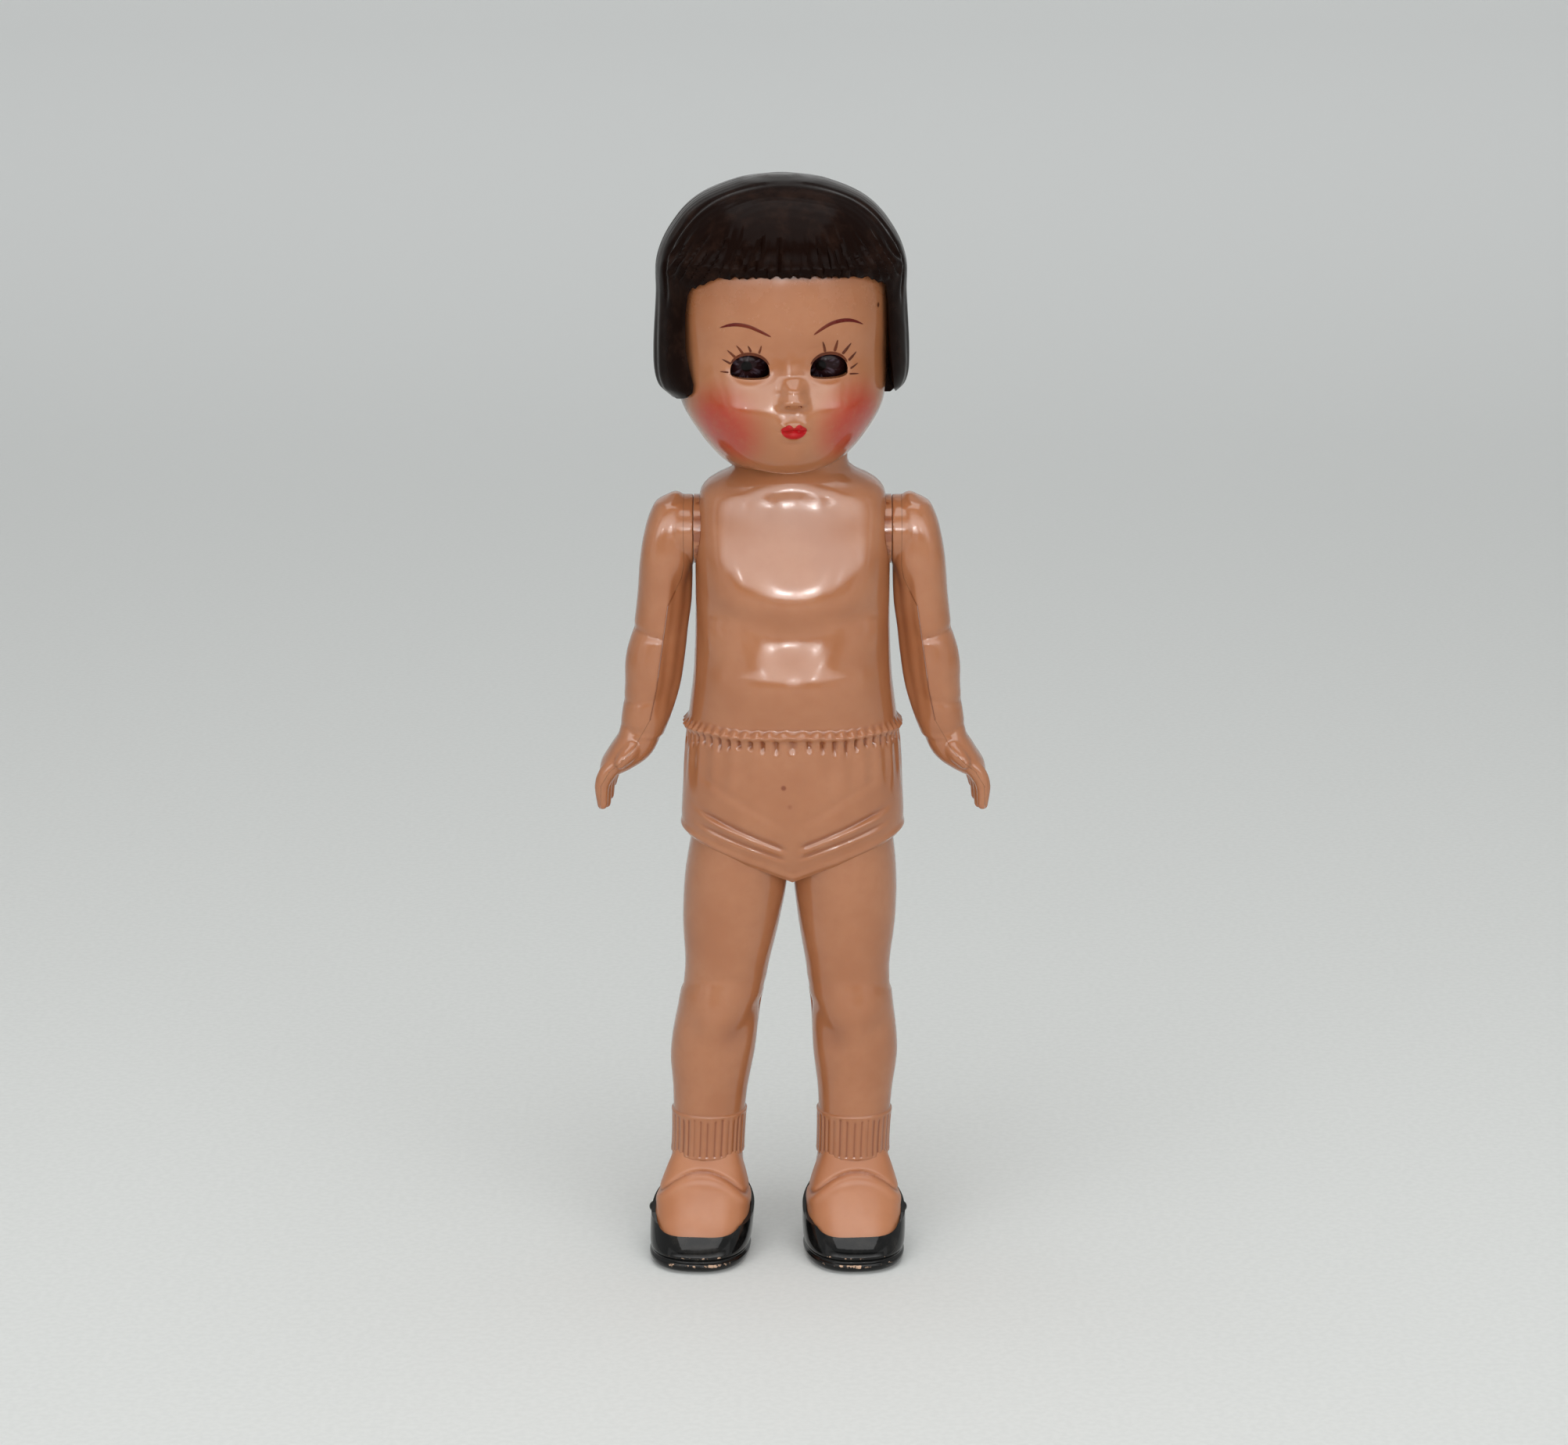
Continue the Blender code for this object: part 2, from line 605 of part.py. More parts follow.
def face_depth(across, height):
    """Depth of the face's surface from the head's axis, at a place across and a height."""
    section = smooth_section(HEAD, height)
    share = min(1.0, abs(across) / section.half_width)
    plain = section.front * (1.0 - share**section.square) ** (1.0 / section.square)
    return plain + face_relief(Vector((across, 0.0, height)))


def head():
    """Skull and face."""
    rings = []
    heights = [THROAT.height, CHIN.height, *spread(JAW.height, BROW.height, FACE_RINGS)]
    heights += spread(BROW.height, SCALP.height, CROWN_RINGS)[1:]
    for height in heights:
        ring = level_ring(smooth_section(HEAD, height), HEAD_SIDES, 0.0, None, FACE_CROWDING)
        for point in ring:
            if point.y < 0:
                point.y -= face_relief(point)
        rings.append(ring)
    return loft("head", rings)


def hair():
    """The bob, open at the face below a straight fringe."""
    made_rings = [
        level_ring(smooth_section(HAIR, height), HAIR_SIDES)
        for height in spread(HAIR_HEM.height, HAIR_TOP.height, HAIR_RINGS)
    ]
    peak = HAIR_TOP._replace(height=HAIR_PEAK, half_width=HAIR_TOP.half_width / 3, front=HAIR_TOP.front / 3)
    made_rings.append(level_ring(peak._replace(back=HAIR_TOP.back / 3), HAIR_SIDES))
    made = loft("hair", made_rings)
    half, corner = FACE_WINDOW_HALF_WIDTH, FACE_WINDOW_CORNER
    top, floor = FRINGE_EDGE_HEIGHT, HAIR_HEM.height - HEAD_WALL
    outline = [(-half, floor), (half, floor)]
    for quarter in (0, 1):
        middle = half - corner if quarter == 0 else corner - half
        for step in range(4):
            angle = math.pi / 2 * (quarter + step / 3)
            outline.append((middle + corner * math.cos(angle), top - corner + corner * math.sin(angle)))
    cut(made, prism("face window", outline, -2 * FRINGE.front, 0.0))
    return made


def eye_centre(side):
    depth = face_depth(EYE_ACROSS, EYE_HEIGHT) - EYE_SEAT - EYE_RADIUS
    return Vector((side * EYE_ACROSS, -depth, EYE_HEIGHT))


def axle_reach():
    """Half length of the eye axle, to the outer faces of the lugs."""
    return EYE_ACROSS + EYE_RADIUS + EYE_GAP + LUG_THICKNESS


def eye_opening(side):
    """A cutter for the eye opening: domed above, nearly flat below."""
    centre = eye_centre(side)
    half = EYE_OPENING_WIDTH / 2
    outline = []
    for step in range(16):
        angle = 2 * math.pi * step / 16
        rise = EYE_OPENING_TOP if math.sin(angle) > 0 else EYE_OPENING_BOTTOM
        aside, up = half * power_of(math.cos(angle), 0.9), rise * power_of(math.sin(angle), 0.8)
        outline.append((centre.x + aside, EYE_HEIGHT + up))
    return prism("eye opening", outline, -2 * BROW.front, centre.y)


def eye_lug(side):
    """A moulded lug inside the temple that carries an end of the eye axle."""
    centre = eye_centre(side)
    inner = axle_reach() - LUG_THICKNESS
    wall = smooth_section(HEAD, EYE_HEIGHT).half_width - HEAD_WALL / 2
    low = Vector((inner, centre.y - LUG_DEPTH, EYE_HEIGHT - LUG_HALF_HEIGHT))
    high = Vector((wall, centre.y + LUG_DEPTH, EYE_HEIGHT + LUG_HALF_HEIGHT))
    made = block("lug", low, high)
    inside = level_loft("inside", HEAD, HEAD_SIDES // 2, HEAD_ROOM_RINGS, HEAD_WALL / 2)
    combine(made, inside, "INTERSECT")
    return made if side > 0 else turned(made, Matrix.Scale(-1.0, 4, Vector((1.0, 0.0, 0.0))))


def head_place():
    """From the head's own frame to the neck, a little aside and turned to the doll's left."""
    return Matrix.Translation((HEAD_ASIDE, 0.0, SHOULDER_HEIGHT)) @ Matrix.Rotation(HEAD_TURN, 4, "Z")


def leg_slant():
    """Lets a leg lean aside, more so the lower it is."""
    lean = Matrix.Identity(4)
    lean[0][2] = math.tan(LEG_SLANT)
    lean[0][3] = -math.tan(LEG_SLANT) * SLANT_START
    return lean


def body():
    """Head, trunk, legs and shoes in one, still solid."""
    made = trunk()
    for build in (leg, foot, shoe, cuff):
        piece = build()
        other = mirrored(piece, "other")
        join(made, turned(other, leg_slant()), turned(piece, leg_slant()))
    join(made, waistband())
    skull = head()
    join(skull, hair())
    join(made, turned(skull, head_place()))
    return made


def cut_rooms(made):
    """Hollows a half of the moulding, and opens its half of the shoulder holes."""
    trunk_room = level_loft("room", TRUNK, TRUNK_SIDES // 2, TRUNK_ROOM_RINGS, BODY_WALL, SEAT.height)
    leg_room = level_loft("room", LEG, LEG_SIDES // 2, LEG_RINGS // 2, BODY_WALL, LEG_HOLLOW_END)
    other_room = mirrored(leg_room, "room")
    cut(made, trunk_room, turned(other_room, leg_slant()), turned(leg_room, leg_slant()))
    low, high = THROAT.height, SCALP.height - HEAD_WALL
    head_room = level_loft("room", HEAD, HEAD_SIDES // 2, HEAD_ROOM_RINGS, HEAD_WALL, low, high)
    cut(made, turned(head_room, head_place()))
    far = 2 * SHOULDERS.half_width
    start, stop = Vector((-far, 0.0, SHOULDER_HEIGHT)), Vector((far, 0.0, SHOULDER_HEIGHT))
    cut(made, rod("shoulder holes", start, stop, ELASTIC_RADIUS + ELASTIC_GAP, ELASTIC_SIDES))


def fit_eye_seats(made):
    """Adds the lugs for the eye axle, and cuts the eyes' seats, their openings and the axle's holes."""
    for side in (-1, 1):
        join(made, turned(eye_lug(side), head_place()))
    for side in (-1, 1):
        seat = ball("seat", eye_centre(side), EYE_RADIUS + EYE_GAP, EYE_SIDES)
        cut(made, turned(seat, head_place()), turned(eye_opening(side), head_place()))
    reach = axle_reach() + WIRE_GAP
    centre = eye_centre(1)
    start, stop = Vector((-reach, centre.y, centre.z)), Vector((reach, centre.y, centre.z))
    cut(made, turned(rod("axle hole", start, stop, AXLE_RADIUS + WIRE_GAP, ELASTIC_SIDES), head_place()))


def shells():
    """Parts the body at the side seam and hollows both halves."""
    front = body()
    front.name = "front_shell"
    back = copy_of(front, "back_shell")
    reach = SHOULDER_HEIGHT + HAIR_PEAK
    behind = block("behind", (-reach, -SEAM_GAP / 2, -reach), (reach, reach, 2 * reach))
    ahead = block("ahead", (-reach, -reach, -reach), (reach, SEAM_GAP / 2, 2 * reach))
    cut(front, behind)
    cut(back, ahead)
    cut_rooms(front)
    cut_rooms(back)
    fit_eye_seats(front)
    finish(front, FLESH)
    finish(back, FLESH)


def boss_face():
    """Where the arm's flat boss stands, clear of the trunk's side."""
    return smooth_section(TRUNK, SHOULDER_HEIGHT).half_width + SHOULDER_SEAT_PROUD + ARM_GAP


def tapered_finger(name, points, radii):
    """A round finger through points in the X and Z directions at one depth each."""
    rings = []
    for i, (point, radius) in enumerate(zip(points, radii)):
        run = points[min(i + 1, len(points) - 1)] - points[max(i - 1, 0)]
        aside = Vector((0.0, 1.0, 0.0))
        up = run.normalized().cross(aside)
        ring = []
        for j in range(FINGER_SIDES):
            angle = 2 * math.pi * (j + 0.5) / FINGER_SIDES
            ring.append(point + radius * (math.cos(angle) * aside + math.sin(angle) * up))
        rings.append(ring)
    return loft(name, rings)


def hand():
    """Palm, four drooping fingers and a thumb laid along the palm."""
    rings = []
    for i, section in enumerate(HAND):
        before, after = HAND[max(i - 1, 0)], HAND[min(i + 1, len(HAND) - 1)]
        run = Vector((after.across - before.across, 0.0, after.height - before.height)).normalized()
        aside = Vector((0.0, 1.0, 0.0))
        up = run.cross(aside)
        centre = Vector((section.across, 0.0, section.height))
        ring = []
        for j in range(HAND_SIDES):
            angle = 2 * math.pi * (j + 0.5) / HAND_SIDES
            broad = section.half_breadth * power_of(math.cos(angle), 0.8)
            thick = section.half_thickness * power_of(math.sin(angle), 0.8)
            ring.append(centre + broad * aside + thick * up)
        rings.append(ring)
    made = loft("hand", rings)
    for n, tip_height in enumerate(FINGER_TIP_HEIGHTS):
        depth = (n - 1.5) * FINGER_SPACING
        points = [
            Vector((PALM.across, depth, PALM.height)),
            Vector((KNUCKLES.across, depth, KNUCKLES.height)),
            Vector((FINGER_BEND_ACROSS, depth, FINGER_BEND_HEIGHT)),
            Vector((FINGER_TIP_ACROSS, depth, tip_height + FINGER_TIP_RADIUS)),
            Vector((FINGER_TIP_ACROSS, depth, tip_height)),
        ]
        radii = (FINGER_RADIUS, FINGER_RADIUS, FINGER_RADIUS, FINGER_TIP_RADIUS, FINGER_TIP_RADIUS / 2)
        join(made, tapered_finger("finger", points, radii))
    root = Vector((HEEL_OF_HAND.across, THUMB_RADIUS - HEEL_OF_HAND.half_breadth, HEEL_OF_HAND.height))
    tip = Vector((THUMB_TIP_ACROSS, -THUMB_FRONT, THUMB_TIP_HEIGHT))
    points = [root, root.lerp(tip, 0.5), root.lerp(tip, 0.9), tip]
    radii = (THUMB_RADIUS, THUMB_RADIUS, THUMB_RADIUS * 0.8, THUMB_RADIUS * 0.45)
    join(made, tapered_finger("thumb", points, radii))
    return made


def parting_outline(shift):
    """Outline of all that lies on the trunk's side of the arm's parting line, moved across by shift."""
    high = SHOULDER_HEIGHT + 2 * BOSS_RADIUS
    line = [(SHOULDER_PARTING, high), (SHOULDER_PARTING, PARTING_STEP_HEIGHT)]
    for section in (MID_ARM, ABOVE_ELBOW, FOREARM, LOW_FOREARM):
        line.append((section.across + ARM_PARTING_SHIFT, section.height))
    for section in (HEEL_OF_HAND, PALM, KNUCKLES):
        line.append((section.across, section.height))
    line.append((FINGER_BEND_ACROSS, FINGER_BEND_HEIGHT))
    low = min(FINGER_TIP_HEIGHTS) - FINGER_RADIUS
    line.append((FINGER_TIP_ACROSS, low))
    outline = [(x + shift, z) for x, z in line]
    return outline


def arm():
    """The doll's whole left arm, hollow, before its halves are parted."""
    made = level_loft("arm", ARM, ARM_SIDES, ARM_RINGS)
    face = boss_face()
    start = Vector((face, 0.0, SHOULDER_HEIGHT))
    stop = Vector((face + BOSS_DEPTH, 0.0, SHOULDER_HEIGHT))
    join(made, rod("boss", start, stop, BOSS_RADIUS, LEG_SIDES), hand())
    room = level_loft("room", ARM, ARM_SIDES // 2, ARM_RINGS // 2, ARM_WALL, ARM_HOLLOW_END, ARM_HOLLOW_TOP)
    cut(made, room)
    start = Vector((face - ARM_GAP, 0.0, SHOULDER_HEIGHT))
    stop = Vector((UPPER_ARM.across, 0.0, SHOULDER_HEIGHT))
    cut(made, rod("string hole", start, stop, ELASTIC_RADIUS + ELASTIC_GAP, ELASTIC_SIDES))
    return made


def parted_arm():
    """The outer and inner halves of the doll's left arm."""
    outer = arm()
    inner = copy_of(outer, "inner")
    reach = HIPS.half_width
    near = parting_outline(SEAM_GAP / 2)
    near = [(0.0, near[0][1]), *near, (0.0, near[-1][1])]
    cut(outer, prism("trunk side", near, -reach, reach))
    far_x = 2 * FINGER_TIP_ACROSS
    far = parting_outline(-SEAM_GAP / 2)
    far = [(far_x, far[0][1]), *far, (far_x, far[-1][1])]
    cut(inner, prism("outer side", far, -reach, reach))
    return outer, inner


def hang(part, name, pivot, finish_values):
    """Names a moving piece and puts its origin on its joint's axis."""
    part.name = name
    part.data.transform(Matrix.Translation(-pivot))
    part.location = pivot
    finish(part, finish_values)


def arms():
    outer, inner = parted_arm()
    pivot = Vector((boss_face(), 0.0, SHOULDER_HEIGHT))
    other = Vector((-pivot.x, 0.0, pivot.z))
    hang(mirrored(outer, "right_arm_outer"), "right_arm_outer", other, FLESH)
    hang(mirrored(inner, "right_arm_inner"), "right_arm_inner", other, FLESH)
    hang(outer, "left_arm_outer", pivot, FLESH)
    hang(inner, "left_arm_inner", pivot, FLESH)


def elastic():
    """A round elastic through both shoulders, with a knot inside each arm."""
    section = smooth_section(ARM, SHOULDER_HEIGHT)
    seat = max(boss_face(), section.across - section.half_width) + ARM_WALL + KNOT_GAP
    end = seat + KNOT_LENGTH
    half = [
        (seat, ELASTIC_RADIUS),
        (seat + KNOT_LENGTH * 0.15, KNOT_RADIUS * 0.85),
        (seat + KNOT_LENGTH * 0.5, KNOT_RADIUS),
        (seat + KNOT_LENGTH * 0.85, KNOT_RADIUS * 0.75),
        (end, ELASTIC_RADIUS * 0.8),
    ]
    profile = [(-end, 0.0), *((-x, radius) for x, radius in reversed(half)), *half, (end, 0.0)]
    made = turned_solid("arm_elastic", profile, ELASTIC_SIDES)
    made.data.transform(Matrix.Translation((0.0, 0.0, SHOULDER_HEIGHT)))
    finish(made, RUBBER)


def eye(side, name, pivot):
    """A hollow eye cup, open at the back, bored for the axle."""
    centre = eye_centre(side)
    made = ball(name, centre, EYE_RADIUS, EYE_SIDES)
    cut(made, ball("inside", centre, EYE_RADIUS - EYE_WALL, EYE_SIDES - 6))
    reach = 2 * EYE_RADIUS
    low = centre + Vector((-reach, EYE_CUP_BACK, -reach))
    cut(made, block("open back", low, centre + Vector((reach, reach, reach))))
    start = centre - Vector((reach, 0.0, 0.0))
    stop = centre + Vector((reach, 0.0, 0.0))
    cut(made, rod("bore", start, stop, AXLE_RADIUS + WIRE_GAP, ELASTIC_SIDES))
    hang(turned(made, head_place()), name, pivot, EYE_BROWN)


def lever_tip():
    centre = eye_centre(1)
    return Vector((0.0, centre.y + LEVER_BACK, centre.z - LEVER_DROP))


def eye_works():
    """Axle wire with its lever, the lead weight and the two eyes."""
    centre = eye_centre(1)
    pivot = head_place() @ Vector((0.0, centre.y, centre.z))
    reach = axle_reach()
    start, stop = Vector((-reach, centre.y, centre.z)), Vector((reach, centre.y, centre.z))
    axle = rod("eye_axle", start, stop, AXLE_RADIUS, FINGER_SIDES)
    root, tip = Vector((0.0, centre.y, centre.z)), lever_tip()
    join(axle, rod("lever", root, tip, AXLE_RADIUS, FINGER_SIDES))
    hang(turned(axle, head_place()), "eye_axle", pivot, STEEL)
    along = (tip - root).normalized()
    top = tip - along * WEIGHT_SOCKET
    weight = rod("eye_weight", top, top + along * WEIGHT_LENGTH, WEIGHT_RADIUS, ELASTIC_SIDES)
    start, stop = top - along * WIRE_GAP, tip + along * WIRE_GAP
    cut(weight, rod("socket", start, stop, AXLE_RADIUS + WIRE_GAP, FINGER_SIDES))
    hang(turned(weight, head_place()), "eye_weight", pivot, LEAD)
    eye(1, "left_eye", pivot)
    eye(-1, "right_eye", pivot)


def main():
    clear_scene()
    shells()
    arms()
    elastic()
    eye_works()


main()
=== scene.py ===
"""Celluloid doll with sleeping eyes: fine moulded forms, painted face, hair and shoes, over the CAD frame."""

import math

import bpy
import numpy as np
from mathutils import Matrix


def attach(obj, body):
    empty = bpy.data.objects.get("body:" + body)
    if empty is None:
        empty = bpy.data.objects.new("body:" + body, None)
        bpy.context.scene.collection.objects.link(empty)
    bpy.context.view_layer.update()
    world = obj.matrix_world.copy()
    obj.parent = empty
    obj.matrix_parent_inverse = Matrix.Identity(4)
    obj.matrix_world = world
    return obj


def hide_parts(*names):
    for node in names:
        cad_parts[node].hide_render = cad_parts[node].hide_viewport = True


bl_info = {
    "name": "Celluloid doll",
    "version": (1, 0, 0),
    "blender": (4, 5, 0),
    "location": "3D View > Sidebar > Doll",
    "description": "Builds a moulded celluloid doll with swinging arms and sleeping eyes over its CAD frame",
    "category": "Object",
}

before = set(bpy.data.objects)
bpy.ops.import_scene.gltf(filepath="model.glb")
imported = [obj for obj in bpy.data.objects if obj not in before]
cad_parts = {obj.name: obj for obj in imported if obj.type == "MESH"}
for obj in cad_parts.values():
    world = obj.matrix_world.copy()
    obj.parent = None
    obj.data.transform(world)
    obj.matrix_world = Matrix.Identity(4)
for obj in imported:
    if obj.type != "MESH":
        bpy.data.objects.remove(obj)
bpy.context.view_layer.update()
MM = 0.001
SHELLS = ("front_shell", "back_shell")

# Sections of the moulding in millimetres: height, half width, front, back, squareness, across.
TRUNK = (
    (60.5, 16.6, 7.6, 9.0, 2.3, 0.0),
    (72.5, 17.9, 11.3, 12.9, 2.3, 0.0),
    (78.0, 17.8, 12.1, 12.6, 2.3, 0.0),
    (90.0, 17.0, 12.5, 10.2, 2.3, 0.0),
    (97.825, 16.1, 13.1, 9.2, 2.3, 0.0),
    (105.65, 15.75, 11.5, 8.9, 2.4, 0.0),
    (110.658, 15.7, 12.2, 9.2, 2.5, 0.0),
    (119.422, 15.6, 10.5, 9.4, 3.2, 0.0),
    (127.3, 14.9, 8.6, 9.0, 3.0, 0.0),
    (129.7, 13.2, 8.3, 8.5, 2.3, 0.0),
    (131.8, 9.3, 7.4, 7.8, 2.0, 0.0),
    (134.5, 8.8, 6.6, 7.2, 2.0, 0.0),
)
LEG = (
    (11.5, 6.3, 7.2, 6.4, 2.1, 12.25),
    (17.0, 5.8, 5.9, 6.2, 2.1, 12.1),
    (26.0, 6.15, 5.8, 7.0, 2.1, 12.05),
    (33.5, 7.0, 6.5, 8.1, 2.1, 11.8),
    (42.0, 6.8, 7.2, 6.9, 2.1, 10.9),
    (47.5, 6.85, 7.1, 7.4, 2.1, 10.05),
    (56.0, 8.0, 8.0, 8.8, 2.1, 9.5),
    (64.0, 8.45, 8.9, 9.9, 2.1, 8.9),
    (74.0, 7.6, 9.0, 9.6, 2.1, 8.4),
)
HEAD = (
    (10.8, 8.2, 7.5, 7.4, 2.0, 0.0),
    (12.6, 10.3, 13.6, 9.3, 2.0, 0.0),
    (15.9, 13.0, 16.0, 12.4, 2.2, 0.0),
    (20.7, 15.9, 17.3, 15.0, 2.25, 0.0),
    (25.2, 16.8, 17.2, 16.6, 2.2, 0.0),
    (29.7, 17.1, 16.9, 17.4, 2.2, 0.0),
    (35.7, 17.3, 17.4, 18.0, 2.2, 0.0),
    (42.7, 17.0, 17.2, 18.0, 2.1, 0.0),
    (49.7, 13.6, 13.6, 15.0, 2.0, 0.0),
    (54.7, 6.0, 6.0, 7.0, 2.0, 0.0),
)
HAIR = (
    (22.1, 17.6, 14.0, 17.2, 2.2, 0.0),
    (24.1, 19.7, 15.2, 19.2, 2.2, 0.0),
    (27.7, 20.4, 15.4, 19.2, 2.2, 0.0),
    (38.7, 20.0, 16.6, 19.4, 2.1, 0.0),
    (44.2, 19.8, 18.4, 19.1, 2.05, 0.0),
    (49.2, 17.6, 16.8, 17.4, 2.0, 0.0),
    (53.7, 13.4, 12.5, 13.4, 2.0, 0.0),
    (56.4, 7.2, 6.8, 7.2, 2.0, 0.0),
    (57.2, 2.4, 2.3, 2.4, 2.0, 0.0),
)
ARM = (
    (87.2, 3.65, 4.0, 3.9, 2.1, 24.7),
    (90.5, 4.05, 4.4, 4.3, 2.2, 23.8),
    (95.5, 4.5, 4.8, 4.7, 2.2, 22.75),
    (101.3, 4.75, 5.0, 5.2, 2.2, 22.1),
    (105.0, 4.45, 5.0, 4.9, 2.2, 21.4),
    (110.0, 4.45, 5.3, 5.3, 2.2, 20.75),
    (119.0, 4.1, 5.6, 5.6, 2.7, 20.2),
    (125.6, 2.9, 4.2, 4.2, 2.3, 19.3),
    (127.3, 0.6, 1.2, 1.2, 2.0, 18.8),
)
# Foot and shoe: height, toe, heel, ball half width, heel half width.
SHOE = (
    (0.0, 16.7, 7.2, 7.4, 5.6),
    (0.6, 17.7, 7.9, 8.1, 6.2),
    (1.5, 18.0, 8.0, 8.3, 6.4),
    (1.9, 17.4, 7.7, 8.0, 6.2),
    (2.8, 17.6, 8.0, 8.3, 6.5),
    (4.6, 16.3, 8.1, 8.45, 6.7),
    (7.2, 13.4, 8.1, 8.5, 6.8),
    (10.0, 10.6, 7.8, 8.2, 6.7),
    (12.4, 8.7, 7.3, 7.5, 6.5),
)
FOOT = (SHOE[2], *SHOE[4:], (17.0, 6.0, 6.2, 5.8, 5.6))
# Palm: across, height, half breadth, half thickness.
HAND = (
    (24.5, 88.6, 3.6, 3.4),
    (25.6, 85.9, 4.0, 3.2),
    (27.7, 83.7, 4.4, 2.6),
    (29.8, 81.8, 4.3, 1.75),
    (30.5, 80.7, 4.1, 1.2),
)
FINGER_TIPS = (75.1, 74.8, 75.6, 77.2)
# The arm's parting line, across and up.
PARTING = (
    (17.5, 133.0),
    (17.5, 116.0),
    (17.9, 113.9),
    (18.9, 111.8),
    (20.05, 109.6),
    (20.7, 105.0),
    (22.05, 95.5),
    (23.1, 90.5),
    (25.6, 85.9),
    (27.7, 83.7),
    (29.8, 81.8),
    (31.2, 79.4),
    (31.4, 73.65),
)

SHOULDER = 121.3
BOSS_RADIUS = 5.6
STRING_HOLE = 1.3
# Walls between the skin and the room inside.
BODY_WALL = 1.5
HEAD_WALL = 2.0
HAIR_WALL = 1.0
ARM_WALL = 1.9
FINGER_PITCH = 2.15
FINGER_FOLD = 0.42
PARTING_GAP = 0.02
ARM_VOXEL = 0.26
PAINT_DEPTH = 0.14
MERGE_DISTANCE = 0.004
# Smoothing passes over the hollows' map.
HOLLOW_PASSES = 4
HEAD_ASIDE = -1.8
HEAD_TURN = math.radians(4.5)
LEG_SLANT = math.tan(math.radians(2.1))
SLANT_START = 72.0
TOE_OUT = math.radians(5.0)
ANKLE_ACROSS = 12.1
FACE_MIDDLE = 0.6
EYE_ACROSS = 6.2
EYE_DEPTH = -10.156
EYE_HEIGHT = 29.3
EYE_RADIUS = 4.2
EYE_WALL = 0.9
EYE_SEAT = 4.5
AXLE_BORE = 0.8
MOUTH_HEIGHT = 19.1
LIP_HALF_WIDTH = 2.08
# How far a lash goes on past the place given for it.
LASH_REACH = 1.45
SHOE_WALL = 1.1
BUTTON_RADIUS = 0.95
BUTTON_HEIGHT = 6.2
BAND_HEIGHT = 89.6
# The brief's leg edge: its height at the fork, and its rise for each millimetre outwards.
FORK_HEIGHT = 64.3
LEG_EDGE_RISE = 7.2 / 17.8
# The hollow between belly and chest, which is filled at the sides.
HOLLOW = (96.0, 115.5)
# Columns beside the side seams, as angles from the seam.
BESIDE_SEAM = np.array([-0.03, -0.012, 0.012, 0.03])
# The photograph's frame and lens in pixels, and the camera's height over level.
PHOTO_WIDTH = 2005.0
PHOTO_LENS = 5580.0
PHOTO_SHIFT = -11.0
CAMERA_LIFT = math.radians(14.0)
CAMERA_AIM = 0.089
# The floor sheet's size before it is curved and the bright card's width and place, in metres.
SWEEP_SIZE = 6.0
CARD_WIDTH = 3.8
CARD_PLACE = -1.0
CARD_MIDDLE = 0.6
CARD_STRENGTH = 3.35
# The chest's slope, the hollow under it and the belly's swell, as height and reach over the plain trunk.
CHEST = (
    (90.0, 0.0),
    (94.0, 0.15),
    (98.0, 0.3),
    (101.0, 0.18),
    (104.0, -0.04),
    (106.5, -0.12),
    (109.0, 0.05),
    (112.0, 0.2),
    (116.0, 0.1),
    (121.0, -0.08),
    (126.0, -0.12),
    (131.0, 0.0),
)


# Shaping aids.


def bell(value, middle, width):
    """One at the middle, falling off softly over the width."""
    return np.exp(-(((value - middle) / width) ** 2))


def ease(value, start, stop):
    """Nought before start, one after stop, and a soft rise between."""
    share = np.clip((value - start) / (stop - start), 0.0, 1.0)
    return share * share * (3.0 - 2.0 * share)


def between(value, start, full, fade, stop):
    """A soft rise from start to full, and a soft fall from fade to stop."""
    return ease(value, start, full) * (1.0 - ease(value, fade, stop))


def bumps(x, z, table):
    """Sum of soft bumps, each with its reach, middle and width across, middle and width upwards."""
    return sum(reach * bell(x, across, wide) * bell(z, up, tall) for reach, across, wide, up, tall in table)


def power_of(value, exponent):
    return np.sign(value) * np.abs(value) ** exponent


def through(levels, heights):
    """Values of a table of levels at the given heights, on a smooth curve through every level."""
    table = np.array(levels, float)
    at = table[:, 0]
    heights = np.asarray(heights, float)
    slopes = np.empty_like(table)
    slopes[1:-1] = (table[2:] - table[:-2]) / (at[2:] - at[:-2])[:, None]
    slopes[0] = (table[1] - table[0]) / (at[1] - at[0])
    slopes[-1] = (table[-1] - table[-2]) / (at[-1] - at[-2])
    low = np.clip(np.searchsorted(at, heights, side="right") - 1, 0, len(at) - 2)
    span = (at[low + 1] - at[low])[..., None]
    t = np.clip((heights - at[low])[..., None] / span, 0.0, 1.0)
    rise = ease(t, 0.0, 1.0)
    pull = t * (1.0 - t) ** 2 * span * slopes[low] + t * t * (t - 1.0) * span * slopes[low + 1]
    return table[low] + (table[low + 1] - table[low]) * rise + pull


def turns(count):
    """Even angles once round."""
    return np.linspace(0.0, 2 * math.pi, count, endpoint=False)


def with_seams(angles):
    """Angles round a section, with extra columns beside the side seams."""
    return np.sort(np.concatenate([angles, BESIDE_SEAM % (2 * math.pi), BESIDE_SEAM + math.pi]))


def runs(*spans):
    """Heights in runs, each with its start, stop and count."""
    return np.concatenate([np.linspace(*span) for span in spans])


def steps_along(line):
    """How far along a line of points each of them is."""
    return np.concatenate([[0.0], np.cumsum(np.linalg.norm(np.diff(line, axis=0), axis=1))])


def unit_rows(rows):
    return rows / np.linalg.norm(rows, axis=1, keepdims=True)


